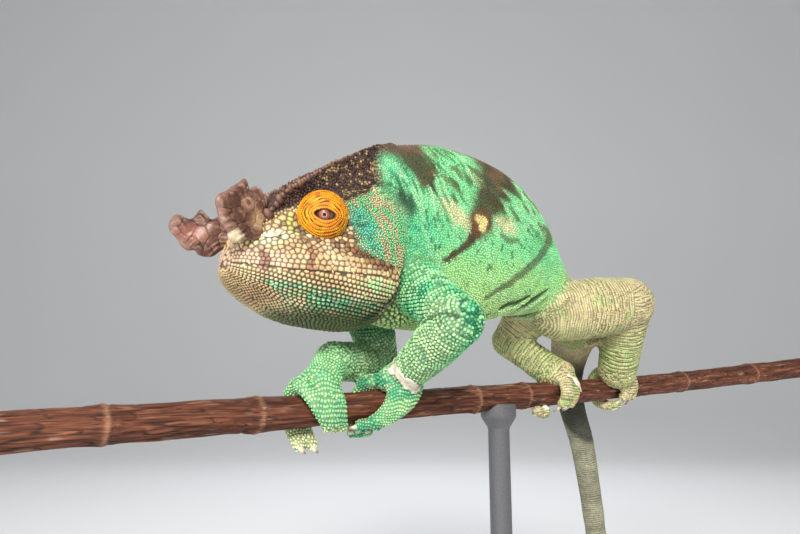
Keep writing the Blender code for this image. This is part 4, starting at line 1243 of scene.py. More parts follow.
def scatterTree():
    tree, board, given = newTree("scatter_scales", (("spacing", "Float"), ("seed", "Int")))
    want = board.add("GeometryNodeInputNamedAttribute", {"data_type": "FLOAT"}, {"Name": "want"})
    values = {
        "Mesh": given["Geometry"], "Distance Min": given["spacing"], "Seed": given["seed"],
        "Density Max": 2.2 / (given["spacing"] * given["spacing"]), "Density Factor": want,
    }
    spots = board.add("GeometryNodeDistributePointsOnFaces", {"distribute_method": "POISSON"}, values)
    lie = Wire(board, spots.socket.node.outputs["Normal"])
    kept = board.add(
        "GeometryNodeStoreNamedAttribute", {"data_type": "FLOAT_VECTOR", "domain": "POINT"},
        {"Geometry": spots, "Name": "lie", "Value": lie},
    )
    corners = board.add("GeometryNodePointsToVertices", None, {"Points": kept})
    board.add("NodeGroupOutput", None, {"Geometry": corners})
    return tree


def coatTree():
    tree, board, given = newTree("set_scales", (("shape", "Object"), ("finish", "Material")))
    shape = board.add("GeometryNodeObjectInfo", None, {"Object": given["shape"]}, out="Geometry")
    lie, ahead, size = (
        board.add("GeometryNodeInputNamedAttribute", {"data_type": "FLOAT_VECTOR"}, {"Name": name})
        for name in ("lie", "ahead", "size")
    )
    turn = board.add(
        "FunctionNodeAxesToRotation", {"primary_axis": "Z", "secondary_axis": "X"},
        {"Primary Axis": lie, "Secondary Axis": ahead},
    )
    values = {"Points": given["Geometry"], "Instance": shape, "Rotation": turn, "Scale": size}
    placed = board.add("GeometryNodeInstanceOnPoints", None, values)
    solid = board.add("GeometryNodeRealizeInstances", None, {"Geometry": placed})
    done = board.add("GeometryNodeSetMaterial", None, {"Geometry": solid, "Material": given["finish"]})
    board.add("NodeGroupOutput", None, {"Geometry": done})
    return tree


scatter, setScales = scatterTree(), coatTree()


# Spots over the part of the skin that want marks, a spacing or more apart
def scatterSpots(want, spacing, seed):
    putValues(skinMesh, "want", want)
    mesh = runTree(skin, scatter, {"spacing": spacing, "seed": seed})
    spots = readMesh(mesh)[0]
    lie = readAll(mesh.attributes["lie"].data, "vector", 3)
    roots = readAll(mesh.attributes["skinMap"].data, "vector", 2)
    bpy.data.meshes.remove(mesh)
    return spots, lie, roots


# Mean distance from each spot to its nearest neighbours
def spotGaps(spots):
    tree = treeOf(spots)
    return np.array([np.mean([near[2] for near in tree.find_n(spot, 6)[1:]]) for spot in spots])


def nearestVertices(spots):
    return np.array([skinNear.find(spot)[1] for spot in spots])


def skinCorners():
    return cornerVertices(skinMesh), readAll(skinMesh.uv_layers["skinMap"].data, "uv", 2)


def skinUvAt(spots):
    corners, uv = skinCorners()
    byVertex = np.zeros((len(skinPoints), 2))
    byVertex[corners] = uv
    return byVertex[nearestVertices(spots)]


# Plates and beads: neighbours looked at, how far the mouth parts them and the groove left there, how much
# farther than its size a plate may reach, and how narrow it is for its share
fitForm = {
    "neighbours": 14, "mouthReach": 2 * mm, "mouthGroove": 0.13 * mm, "most": 1.18,
    "squeeze": {"bead": 0.84, "plate": 0.97},
}


# Fits plates to their shares of the surface, so that neighbours meet in thin grooves
def fitPlates(made, local, spots, lie, ahead, sizes, others, squeeze):
    form = fitForm
    tree = treeOf(np.vstack((spots, others)))
    side = np.cross(lie, ahead)
    side /= norm(side, axis=1)[:, None]
    onward = np.cross(side, lie)
    out = np.hypot(local[:, 0], local[:, 1])
    ways = local[:, :2] / np.maximum(out, 1e-6)[:, None]
    points = np.empty((len(spots), len(local), 3))
    for k, spot in enumerate(spots):
        gaps = np.array([near[0] for near in tree.find_n(spot, form["neighbours"])[1:]]) - spot
        mouth, _, far = mouthTree.find(spot)
        if far < form["mouthReach"]:
            gaps = np.vstack((gaps, (np.array(mouth) - spot) * 2 * (1 - form["mouthGroove"] / far)))
        flat = np.stack((gaps @ onward[k], gaps @ side[k]), 1)
        across = np.maximum(flat @ ways.T, 1e-9)
        reach = ((flat**2).sum(1)[:, None] / (2 * across)).min(0)
        reach = out * np.minimum(reach, form["most"] * max(sizes[k, :2]))
        points[k] = spot + np.outer(ways[:, 0] * reach, onward[k])
        points[k] += np.outer(ways[:, 1] * reach * squeeze, side[k])
        points[k] += np.outer(local[:, 2] * sizes[k, 2], lie[k])
    putPoints(made, points.reshape(-1, 3))


# One piece of scales from their places: each is a dome with painted shade, darker towards its rim than at its
# top
def scalePiece(name, shapeName, spots, lie, ahead, sizes, colours, roots, rim, others=np.zeros((0, 3))):
    mesh = bpy.data.meshes.new(name)
    mesh.from_pydata(spots.tolist(), [], [])
    for key, values in (("lie", lie), ("ahead", ahead), ("size", sizes)):
        putValues(mesh, key, values)
    carrier = newObject(name + "_spots", mesh)
    shape, local = scaleShapes[shapeName]
    made = runTree(carrier, setScales, {"shape": shape, "finish": scaleFinish})
    bpy.data.objects.remove(carrier)
    squeeze = fitForm["squeeze"].get(shapeName)
    if squeeze:
        fitPlates(made, local, spots, lie, ahead, sizes, others, squeeze)
    # Painted shade from the groove tone at each dome's foot up to a touch over its own colour at the top
    depth = clamp((local[:, 2] + 0.3) / 1.3)
    rim = np.array(grooveShades[rim])
    shade = rim + (1.06 - rim) * depth[:, None] ** 0.9
    putColours(made, (colours[:, None, :] * shade).reshape(-1, 3))
    corners = cornerVertices(made)
    for old in [layer.name for layer in made.uv_layers]:
        made.uv_layers.remove(made.uv_layers[old])
    within = local[corners % len(local), :2] * skinForm["scaleMap"]
    putBakeMap(made, roots[corners // len(local)] + within)
    made.shade_smooth()
    print(name, len(spots), "scales", len(made.polygons), "faces")
    return newObject(name, made, scaleFinish)


scaleFinish = skinFinish("scale_horn", 0.46, 0.0001)
random = np.random.default_rng(7)


def sideways(lie, way=(1.0, 0.0, 0.0)):
    ahead = np.asarray(way, float) - lie * (lie @ np.asarray(way, float))[:, None]
    return ahead / np.maximum(norm(ahead, axis=1), 1e-9)[:, None]


# Colour of the scales: the skin's, with each scale a little lighter, darker, yellower or bluer
def scaleColours(spots, spread):
    near = nearestVertices(spots)
    soft, labels = skinColours[near], skinLabels[near]
    edge = norm(soft - coatColour(skinPoints[near], labels), axis=1) > 0.02
    colour = np.where(edge[:, None], soft, coatColour(spots, labels))
    tint = 1 + spread * random.standard_normal(len(spots))
    shift = 0.035 * random.standard_normal((len(spots), 3))
    return clamp(colour * clamp(tint, 0.55, 1.45)[:, None] * (1 + shift), 0.004, 0.98)


# Rows of plates along the lips and of beads down the jaw and throat: the first row's pitch in millimetres,
# how much it grows backwards, stretch of a scale along its row and height as a share of the pitch
jawForm = {
    "lipRows": 3, "jawRows": 26, "slope": 0.13, "lipSlope": -0.22 * mm, "from": -0.0648, "to": -0.0095,
    "lipEnd": -0.015, "lip": (1.15, 0.55, 1.3, 0.2), "jaw": (1.22, 0.22, 1.16, 0.4),
}
# Rows round the limbs and tail: pitch in millimetres, stretch of a scale along its row, height, shape and
# painted groove shade
rowForm = {
    "arm": (1.6, 0.86, 0.3, "bead", "arm"), "hand": (1.45, 0.82, 0.26, "bead", "arm"),
    "leg": (1.2, 0.7, 0.08, "grain", "leg"), "foot": (1.1, 0.95, 0.24, "grain", "leg"),
    "tail": (1.1, 0.85, 0.13, "grain", "leg"),
}
# Painted shade at the foot of each scale: how dark and of what tint, as a share of its own colour
grooveShades = {
    "jaw": (0.04, 0.08, 0.03), "cheek": (0.16, 0.08, 0.05), "casque": (0.34, 0.26, 0.24),
    "flank": (0.5, 0.6, 0.46), "arm": (0.03, 0.22, 0.12), "leg": (0.64, 0.6, 0.48),
    "throat": (0.04, 0.16, 0.08), "turret": 0.62,
}


def jawRows():
    found = []
    columns = np.linspace(2.6, 10, 260)
    xs = np.linspace(jawForm["from"], jawForm["to"], 140)
    grow = rise(xs, -0.066, -0.04)
    for side in (-1, 1):
        sections = headPoints(xs, columns, side)
        arcs = np.array([arcLengths(section) for section in sections])
        mouth = np.array([np.interp(headForm["mouthColumn"], columns, arc) for arc in arcs])
        for row in range(-jawForm["lipRows"], jawForm["jawRows"]):
            # Beads grow from the snout back, those of the lips more; the jaw's rows slope down backwards
            lip = row < 0
            first, growth, stretch, tall = jawForm["lip" if lip else "jaw"]
            gap = (first + growth * grow) * mm
            slope = jawForm["lipSlope"] if lip else jawForm["slope"] * (xs + 0.0118)
            place = mouth + (row + 0.5) * gap + slope
            wanted = (place > 0.3 * mm) & (place < arcs[:, -1] - 0.3 * mm)
            wanted &= (xs < jawForm["lipEnd"]) if lip else (place > mouth + 0.52 * gap + 0.2 * mm)
            line = np.array([
                [np.interp(here, arc, section[:, k]) for k in range(3)]
                for here, arc, section in zip(place, arcs, sections)
            ])
            along = arcLengths(line)
            way = np.gradient(line, axis=0)
            here = gap[0] * 0.6 * (row % 2)
            while here < along[-1]:
                near = np.searchsorted(along, here)
                step = gap[near] * stretch * random.uniform(0.92, 1.08)
                if wanted[near]:
                    spot = Vector([np.interp(here, along, line[:, k]) for k in range(3)])
                    nearest, normal, _, _ = skinTree.find_nearest(spot)
                    size = step * 0.55, gap[near] * 0.55, gap[near] * tall
                    found.append((nearest, normal, way[near], size, row))
                here += step
    return [np.array(values) for values in zip(*found)]


# Spots in rows round a form given as rings: pitch from row to row, stretch of a scale along its row
def ringSpots(rings, part, pitch, stretch, wide, taken):
    arc = arcLengths(rings.mean(1))
    found = []
    for row, place in enumerate(np.arange(0.3 * pitch, arc[-1], pitch)):
        k = min(np.searchsorted(arc, place, "right") - 1, len(rings) - 2)
        share = (place - arc[k]) / max(arc[k + 1] - arc[k], 1e-9)
        ring = between(rings[k], rings[k + 1], share)
        onward = (rings[k + 1] - rings[k]) / max(arc[k + 1] - arc[k], 1e-9)
        # The row wanders along the form, as wrinkles do
        shift = 1.5 * (cloud(ring, 5.0 * mm, 37) - 0.5) + 0.5 * (cloud(ring, 2.0 * mm, 38) - 0.5)
        ring = ring + onward * (pitch * shift)[:, None]
        closed = np.vstack((ring, ring[:1]))
        around = arcLengths(closed)
        count = max(5, round(around[-1] / (pitch * stretch)))
        marks = (np.arange(count) + 0.5 * (row % 2) + random.uniform(-0.12, 0.12, count)) * around[-1] / count
        here, beyond = (
            np.stack([np.interp(places % around[-1], around, closed[:, axis]) for axis in range(3)], -1)
            for places in (marks, marks + pitch * 0.3)
        )
        for spot, later in zip(here, beyond):
            nearest, normal, _, gap = skinTree.find_nearest(spot)
            if gap > 1.5 * mm or skinLabels[skinNear.find(nearest)[1]] != partNames.index(part):
                continue
            if taken is not None and (taken.find(nearest)[2] or 1.0) < pitch * 0.66:
                continue
            size = around[-1] / count * wide, pitch * 0.54, pitch
            found.append((nearest, normal, later - spot, size))
    return found


def rowScales(name, forms, part, pitch, stretch, tall, shape, rim):
    found, taken = [], None
    wide = 0.55 if shape == "bead" else 0.68
    for rings in forms:
        found += ringSpots(rings, part, pitch * mm, stretch, wide, taken)
        taken = treeOf([row[0] for row in found])
    spots, lie, ahead, size = (np.array(values) for values in zip(*found))
    ahead = ahead - lie * (lie * ahead).sum(1)[:, None]
    size = size * (1, 1, tall) * (1 + 0.07 * random.standard_normal(size.shape))
    tones, roots = scaleColours(spots, 0.08), skinUvAt(spots)
    return scalePiece(name, shape, spots, lie, ahead, size, tones, roots, rim), spots


# Scattered groups: name, where on the skin, spacing in millimetres, shape, height as a share of the spacing
# and painted groove shade
def scaleGroups():
    x, y, z = (skinPoints / mm).T
    part = {name: isPart(skinLabels, name) for name in partNames}
    arms, legs, hands, feet = (
        part[f"{kind}_left"] | part[f"{kind}_right"] for kind in ("arm", "leg", "hand", "foot")
    )
    rear = part["head"] & (x > -29.5) & (z > 46) & (z < 76)
    top = part["head"] & (z > np.interp(x, (-66, -52, -45, -31, -20), (51, 60, 64, 67, 72))) & ~rear
    throat = (part["trunk"] | part["arm_left"]) & (throatZone(skinPoints / mm) > 0.5)
    flank = part["trunk"] & ~throat
    return (
        ("cheek", part["head"] & ~rear & ~top, 1.36, "plate", 0.17, "cheek"),
        ("casque", top, 0.78, "grain", 0.22, "casque"),
        ("temple", rear, 0.66, "cone", 0.26, "flank"),
        ("throat", throat, 1.4, "bead", 0.36, "throat"),
        ("flank_left", flank & (y < 0), 0.72, "cone", 0.2, "flank"),
        ("flank_right", flank & (y >= 0), 0.72, "cone", 0.2, "flank"),
        ("arms", arms, 1.1, "bead", 0.24, "arm"),
        ("legs", legs, 0.85, "cone", 0.2, "flank"),
        ("hands", hands, 1.1, "bead", 0.24, "arm"),
        ("feet", feet, 1.0, "grain", 0.22, "casque"),
        ("tail", part["tail"], 0.84, "grain", 0.2, "casque"),
    )


# Rows first: jaw beads, rings round the limbs and the tail, bands over the toes
def rowPieces():
    spots, lie, ahead, size, rows = jawRows()
    ahead = ahead - lie * (lie * ahead).sum(1)[:, None]
    size *= 1 + 0.07 * random.standard_normal(size.shape)
    values = spots, lie, ahead, size, scaleColours(spots, 0.08), skinUvAt(spots)
    onLips = rows < 4
    for name, shape, rim, here in (("lips", "plate", "cheek", onLips), ("jaw", "bead", "jaw", ~onLips)):
        some = [value[here] for value in values]
        yield scalePiece(f"scales_{name}", shape, *some, rim, spots[~here]), spots[here]
    for name in (*limbForm, *footForm):
        forms = limbRings(name) if name in limbForm else footParts(name)
        yield rowScales(f"rows_{name}", forms[::-1], name, *rowForm[name.split("_")[0]])
    yield rowScales("rows_tail", [tailRings()], "tail", *rowForm["tail"])


def makeScales():
    filled = []
    for piece, spots in rowPieces():
        filled.append(spots)
        yield piece
    filled = np.vstack(filled)
    rows = treeOf(filled)
    taken = np.array([rows.find(point)[2] < 0.85 * mm for point in skinPoints])
    for seed, (name, zone, spacing, shape, tall, rim) in enumerate(scaleGroups()):
        spacing *= mm * 1.0
        spots, lie, roots = scatterSpots((zone & ~taken).astype(float), spacing, seed + 1)
        gaps = np.minimum(spotGaps(spots), spacing * 1.5)
        wide = 0.56 if shape == "plate" else 0.54
        size = np.stack((gaps * wide, gaps * wide, gaps * tall + 0.05 * mm), -1)
        size *= 1 + 0.06 * random.standard_normal(size.shape)
        turn = sideways(lie, random.uniform(-1, 1, 3))
        spin = random.uniform(0, math.tau, len(spots))[:, None]
        ahead = turn * np.cos(spin) + np.cross(lie, turn) * np.sin(spin)
        tones = scaleColours(spots, 0.06 if shape == "cone" else 0.1)
        yield scalePiece(f"scales_{name}", shape, spots, lie, ahead, size, tones, roots, rim, filled)


headPieces = ("scales_lips", "scales_jaw", "scales_cheek", "scales_casque", "scales_temple")
for piece in makeScales():
    finishPiece(piece, "skin_head" if piece.name in headPieces else "skin_green")


# Rags of shed skin: a path of points in millimetres and how far the rag reaches from it
shedForm = {
    "wrist": (
        ((-3.5, -7.5, 14.0), (-3.2, -12.0, 11.2), (-0.5, -14.2, 8.0), (4.5, -12.0, 5.6), (6.5, -8.5, 6.0)),
        2.7,
    ),
    "heelRight": (((101, -9, 12.0), (104, -10, 9.0), (105.5, -9.5, 5.0)), 2.0),
    "toesRight": (((84, -3, -3.0), (92, -6.5, -3.6), (101, -9, -3.0)), 1.3),
    "toesLeft": (((142, -5, -5), (147, -7, -6.5), (152, -6, -5)), 2.4),
    "nostril": (((-60.5, -10.5, 53.0), (-56.5, -12.0, 52.8), (-52.5, -13.4, 54.6)), 1.3),
    "belly": (((68, -17, 38.5), (74, -19, 39.5)), 1.2),
}


def makeSheds():
    corners, uv = skinCorners()
    corners, places = corners.reshape(-1, 4), uv.reshape(-1, 4, 2)
    p = skinPoints / mm
    ragged = 1.1 * (cloud(p, 1.3, 131) - 0.5) + 1.2 * (cloud(p, 2.6, 133) - 0.5)
    reach = np.full(len(p), -9.0)
    for path, width in shedForm.values():
        path = np.array(path)
        for first, second in zip(path[:-1], path[1:]):
            gap = beside(p, first, second)[1]
            reach = np.maximum(reach, width + ragged * width * 0.8 - gap)
    chosen = (reach[corners] > 0).all(1)
    used, place = np.unique(corners[chosen], return_inverse=True)
    faces = place.reshape(-1, 4)
    count = len(used)
    normals = vertexNormals(skinPoints, skinTriangles)[used]
    lift = (0.5 + 0.35 * cloud(p[used], 0.9, 135) + 0.25 * rise(0.6 - reach[used], 0, 0.6)) * mm
    top, base = (skinPoints[used] + normals * high[:, None] for high in (lift, lift - 0.22 * mm))
    sides = np.stack((faces, np.roll(faces, -1, axis=1)), -1).reshape(-1, 2)
    uses = {(a, b): True for a, b in sides.tolist()}
    rims = [(b, a, a + count, b + count) for a, b in uses if (b, a) not in uses]
    allFaces = faces.tolist() + (faces[:, ::-1] + count).tolist() + rims
    obj = meshObject("shed_skin", np.vstack((top, base)), allFaces, skinFinish("dry_skin", 0.62))
    q = p[used]
    colour = blend((0.78, 0.66, 0.54), (0.92, 0.86, 0.74), cloud(q, 1.0, 137))
    colour = blend(colour, (0.45, 0.3, 0.2), 0.5 * rise(cloud(q, 0.8, 139), 0.66, 0.82))
    colour *= np.where(q[:, :1] < -40, 0.66, 0.92)
    # The rag's underside is darker: painted shade under it
    putColours(obj.data, np.vstack((colour, colour * 0.6)))
    byVertex = np.zeros((count, 2))
    byVertex[faces.ravel()] = places[chosen].reshape(-1, 2)
    putBakeMap(obj.data, byVertex[cornerVertices(obj.data) % count])
    print("shed skin", len(allFaces), "faces")
    finishPiece(obj, "skin_green")


makeSheds()


# Little cones along the brow crests, shrinking from the horns back to the casque
crestForm = {
    "start": -0.059, "end": -0.024, "count": 34, "radius": 1.1 * mm, "height": 1.45 * mm,
    "big": {2: 1.35, 5: 1.2, 8: 1.3, 11: 1.1, 14: 1.05}, "tone": (0.2, 0.105, 0.075),
}


def makeCrest():
    form = crestForm
    found = []
    for side in (-1, 1):
        for k in range(form["count"]):
            share = k / (form["count"] - 1)
            x = between(form["start"], form["end"], share)
            spot = Vector(headPoints([x], [2.0 + 0.12 * math.sin(k * 2.3)], side)[0, 0])
            nearest, normal = (np.array(values) for values in skinTree.find_nearest(spot)[:2])
            grow = form["big"].get(k, 0.95 - 0.35 * share) * random.uniform(0.88, 1.12)
            size = form["radius"] * grow, form["radius"] * 0.85 * grow, form["height"] * grow**1.4
            found.append((nearest - 0.2 * mm * normal, normal + (0, 0, 0.9), size))
    spots, lie, size = (np.array(values) for values in zip(*found))
    lie /= norm(lie, axis=1)[:, None]
    tones = np.array(form["tone"]) * random.uniform(0.7, 1.3, (len(spots), 1))
    roots = skinUvAt(spots)
    return scalePiece("crest_cones", "grain", spots, lie, sideways(lie), size, tones, roots, "casque")


finishPiece(makeCrest(), "skin_head")
fleshNodes = [
    "neck", "torso", "tail_base", "tail_middle", "tail_hook", "tail_curl", "tail_tip", "head",
    *[f"{limb}_{part}" for limb in limbForm for part in ("upper", "lower")], *footForm,
]
finishPiece(skin, "skin_green", *fleshNodes)


# Eye turrets and eyes

turretForm = {
    "centre": (-0.0395, 0.0165, 0.0617), "radius": 0.0086, "rings": 10, "step": 0.62 * mm,
    "looks": {"left": (-0.42, 0.86, -0.18), "right": (-0.1, 1.0, -0.05)}, "rimLean": math.radians(104),
    "slitLength": 0.0031, "slitHeight": 0.0016, "ball": 0.0036, "ballPlace": 0.0041,
    # The eye looks a little past the turret's own way; scales this near the middle plane are left out
    "gaze": {"left": (-0.13, -0.03, -0.05), "right": (0.0, 0.0, 0.0)}, "skullHalf": 0.0125,
}


def turretFrame(side):
    sign = -1 if side == "left" else 1
    x, y, z = turretForm["centre"]
    ahead, out, up = turretForm["looks"][side]
    look = np.array((ahead, sign * out, up))
    look /= norm(look)
    back = np.array((1.0, 0, 0)) - look * look[0]
    back /= norm(back)
    lift = np.cross(look, back) * (1 if np.cross(look, back)[2] > 0 else -1)
    return np.array((x, sign * y, z)), look, back, lift


# Surface of the turret at a share from the lid's edge (0) to the rim (1), at turns round the look
def turretPoints(side, shares, turns, proud=0.0):
    centre, look, back, lift = turretFrame(side)
    radius = turretForm["radius"]
    cos, sin = np.cos(turns), np.sin(turns)
    slit = 1 / np.sqrt((cos / turretForm["slitLength"]) ** 2 + (sin / turretForm["slitHeight"]) ** 2)
    # The slit's ends are drawn out to points
    slit = slit * (1 + 0.16 * np.abs(cos) ** 12)
    first = np.arcsin(slit / radius)
    lean = between(first, turretForm["rimLean"], shares)
    lip = 0.3 * mm * np.exp(-((shares / 0.05) ** 2))
    reach = radius - 0.25 * mm - lip + proud
    flat = reach * np.sin(lean)
    high = reach * np.cos(lean) * 0.97
    return centre + look * high[:, None] + back * (flat * cos)[:, None] + lift * (flat * sin)[:, None]


# How far the rings wander from true circles, as a share of the way to the rim
def turretWander(shares, turns):
    within = rise(shares, 0.06, 0.3) * (1 - rise(shares, 0.88, 1.0))
    return (0.026 * np.sin(2 * turns + 9 * shares + 0.6) + 0.017 * np.sin(5 * turns - 13 * shares)) * within


def turretColour(shares, turns, points):
    p = points / mm
    rimTone = rise(shares, 0.8, 0.95)
    return layered(
        (0.8, 0.27, 0.001), ((0.86, 0.38, 0.003), rise(cloud(p, 2.0, 101), 0.3, 0.7)),
        ((0.55, 0.15, 0.001), rise(cloud(p, 1.3, 103), 0.66, 0.88)), ((0.48, 0.28, 0.03), 0.6 * rimTone),
        ((0.3, 0.42, 0.05), 0.8 * (rimTone * rise(-np.cos(turns - math.radians(40)), 0.1, 0.8))),
    )


def makeTurret(side):
    steps, around = 90, 180
    turns = np.linspace(0, math.tau, around, endpoint=False)
    rings = turretForm["rings"]
    rows = []
    shareList = np.linspace(0, 1, steps)
    for share in shareList:
        shares = np.full(around, share)
        wave = 0.5 + 0.5 * np.cos(math.tau * rings * (share + turretWander(shares, turns)))
        rows.append(turretPoints(side, shares, turns, -0.16 * mm * wave**3))
    centre = turretFrame(side)[0]
    # The lid's edge turns in towards the eyeball
    inner = [between(centre, rows[0], size) for size in (0.8, 0.9)]
    points, faces = ringMesh(np.array(inner + rows))
    obj = meshObject(f"turret_{side}", points, faces, skinFinish(f"turret_skin_{side}", 0.45, 0.0001))
    allShares = np.repeat(np.concatenate(((0, 0), shareList)), around)
    allTurns = np.tile(turns, steps + 2)
    surface = points[:-2]
    wander = 2.0 * (cloud(surface / mm, 2.2, 107) - 0.5)
    phase = math.tau * rings * (allShares + turretWander(allShares, allTurns))
    groove = rise(0.5 + 0.5 * np.cos(phase + wander), 0.58, 0.92)
    broken = rise(cloud(surface / mm, 1.6, 105), 0.44, 0.62)
    # Painted shade: the skin under the turret's scales is darkened; the dark broken lines in the grooves
    # between the rings are partly the turret's own lines and partly painted shade; the lid's in-turned edge
    # and the poles at its centre are painted dark
    colour = layered(
        turretColour(allShares, allTurns, surface) * 0.6,
        ((0.04, 0.008, 0.002), groove * (0.12 + 0.88 * broken)),
        ((0.05, 0.016, 0.008), 1 - rise(allShares, 0.01, 0.05)),
    )
    putColours(obj.data, np.vstack((colour, colour[:2] * 0.1)))
    finishPiece(obj, "turret_orange", f"eye_turret_{side}")


def turretScales(side):
    centre = turretFrame(side)[0]
    rings = turretForm["rings"]
    gap = (turretForm["rimLean"] - 0.3) * turretForm["radius"] / rings
    probeTurns = np.linspace(0, math.tau, 200, endpoint=False)
    found = []
    for ring in range(rings):
        share = (ring + 0.5) / rings if ring else 0.62 / rings
        probe = turretPoints(side, np.full(200, share), probeTurns)
        length = norm(np.diff(probe, axis=0, append=probe[:1]), axis=1)
        total = length.sum()
        count = int(total / turretForm["step"])
        marks = (np.arange(count) + 0.5 * (ring % 2)) * total / count
        turns = np.interp(marks, np.cumsum(length), probeTurns)
        shares = share - turretWander(np.full(count, share), turns)
        place, beyond = (turretPoints(side, shares, turns + ahead, -0.06 * mm) for ahead in (0, 0.02))
        size = np.tile((total / count * 0.54, gap * 0.41, 0.15 * mm), (count, 1))
        tone = turretColour(np.full(count, share), turns, place)
        root = 0.5 + 0.45 * share * np.stack((np.cos(turns), np.sin(turns)), -1)
        found.append((place, place - centre, beyond - place, size, tone, root))
    spots, lie, ahead, size, tones, roots = (np.vstack(values) for values in zip(*found))
    lie /= norm(lie, axis=1)[:, None]
    tones = clamp(tones * (1 + 0.1 * random.standard_normal((len(tones), 1))), 0.003, 0.95)
    keep = np.abs(spots[:, 1]) > turretForm["skullHalf"]
    values = [value[keep] for value in (spots, lie, ahead, size, tones, roots)]
    finishPiece(scalePiece(f"turret_scales_{side}", "grain", *values, "turret"), "turret_orange")


def makeEye(side):
    form = turretForm
    centre, look, back, _ = turretFrame(side)
    gaze = look + np.array(form["gaze"][side])
    gaze /= norm(gaze)
    middle = centre + look * form["ballPlace"]
    turn = np.array(Vector((0, 0, 1)).rotation_difference(Vector(gaze)).to_matrix())
    points, faces = ringMesh(ballRings(middle, (form["ball"],) * 3, 96, 90, turn))
    obj = meshObject(f"eyeball_{side}", points, faces, eyeMaterial)
    out = (points - middle) / form["ball"]
    lean = np.arccos(clamp(out @ gaze, -1, 1)) * form["ball"] / mm
    rings = [(tone, rise(lean, start - 0.05, start + 0.05)) for start, tone in eyeRings]
    rear = rise((points - middle) @ back / mm, 1.4, 1.9)
    putColours(obj.data, layered((0.004, 0.003, 0.003), *rings, ((0.11, 0.09, 0.06), rear)))
    finishPiece(obj, "eye_dark", f"eye_{side}")


# From the pupil outwards: where each ring of colour starts, in millimetres along the ball
eyeRings = (
    (0.62, (0.38, 0.26, 0.23)), (0.94, (0.13, 0.025, 0.012)), (1.08, (0.26, 0.048, 0.02)),
    (1.38, (0.3, 0.06, 0.015)), (1.72, (0.05, 0.016, 0.01)),
)
eyeMaterial = paintedFinish(
    "wet_eye", ((0.3, (0.8, 0.8, 0.8)), (0.7, (1.15, 1.1, 1.1))), (2600.0, 2.0), 0.3, specular_ior_level=0.3,
)
for side in ("left", "right"):
    makeTurret(side)
    turretScales(side)
    makeEye(side)
print("turrets and eyes")


# Rostral horns: flat lobed leaves of glossy, ribbed plates. Outlines run from the horn's lower root round
# its edge to the upper root, in millimetres ahead of the root and above it; plates are places with a size
hornForm = {
    "root": (-0.0575, 0.0092, 0.0568), "spread": 0.3, "lifts": {"left": 0.26, "right": 0.02},
    "middle": (7.5, 0.0), "thickness": 1.55 * mm, "turns": 420, "steps": 46,
    "outlines": {
        "left": (
            (-1, -5.0), (3.0, -6.4), (6.2, -8.2), (8.4, -9.6), (10.6, -9.4), (12.0, -8.0), (13.6, -7.3),
            (15.4, -6.2), (16.6, -4.4), (17.6, -2.6), (19.2, -1.0), (19.0, 1.2), (16.8, 3.6), (14.8, 6.4),
            (13.0, 8.6), (11.3, 11.0), (9.4, 9.4), (7.8, 9.2), (6.6, 10.8), (4.6, 11.8), (2.8, 10.2),
            (1.4, 10.6), (-0.6, 8.4),
        ),
        "right": (
            (-1, -3.4), (2.8, -4.4), (4.9, -6.0), (6.8, -7.6), (9.2, -8.0), (11.4, -7.6), (12.8, -6.3),
            (15.2, -6.5), (17.0, -5.0), (18.6, -2.8), (20.4, -1.2), (21.4, 1.0), (20.8, 3.4), (19.4, 5.2),
            (17.0, 4.2), (14.5, 4.3), (13.2, 5.8), (11.8, 7.8), (9.8, 6.4), (7.9, 4.9), (5.5, 6.2),
            (2.5, 6.4), (-0.6, 5.2),
        ),
    },
    "plates": {
        "left": (
            (16.6, 0.2, 2.9), (15.4, -3.8, 2.8), (12.6, -6.0, 2.2), (9.6, -7.6, 2.6), (5.8, -5.6, 2.2),
            (12.0, 6.6, 3.6), (8.6, 3.6, 2.6), (13.4, 2.4, 2.4), (10.6, -1.6, 2.8), (5.0, 8.6, 2.6),
            (4.0, 4.0, 2.2), (6.2, -0.6, 2.4), (2.2, 7.6, 2.2), (1.6, 1.4, 2.4), (2.4, -3.0, 2.4),
            (13.2, -3.4, 1.6), (9.2, 7.6, 2.0), (8.2, -4.4, 1.9),
        ),
        "right": (
            (19.4, 2.8, 2.8), (19.2, -0.6, 2.2), (17.0, -3.2, 2.4), (14.4, -5.0, 2.2), (11.6, -6.4, 2.0),
            (8.6, -6.6, 2.0), (6.0, -5.4, 1.8), (15.2, 1.2, 3.4), (11.6, 4.6, 3.2), (11.2, -0.8, 3.0),
            (7.4, 1.6, 2.8), (7.2, -3.0, 2.2), (3.6, 3.0, 2.6), (3.4, -1.6, 2.4), (13.0, -3.4, 1.8),
            (5.0, 5.2, 1.6),
        ),
    },
}


def hornTurn(side):
    sign = -1 if side == "left" else 1
    ahead = np.array((-1.0, sign * hornForm["spread"], hornForm["lifts"][side]))
    ahead /= norm(ahead)
    across = np.cross(ahead, (0, 0, 1))
    across /= norm(across)
    root = np.array(hornForm["root"]) * (1, sign, 1)
    return root, np.stack((ahead, np.cross(across, ahead), across))


# How near each place is to each plate, for its size, and the ribs that fan out from the root
def hornPattern(flat, plates):
    gaps = norm(flat[:, None] - plates[None, :, :2], axis=2) / plates[:, 2]
    fan = np.arctan2(flat[:, 1] - 1.0, flat[:, 0] + 4.0)
    return gaps, np.sin(fan * 38 + 2.0 * np.sin(flat[:, 0] * 0.9))


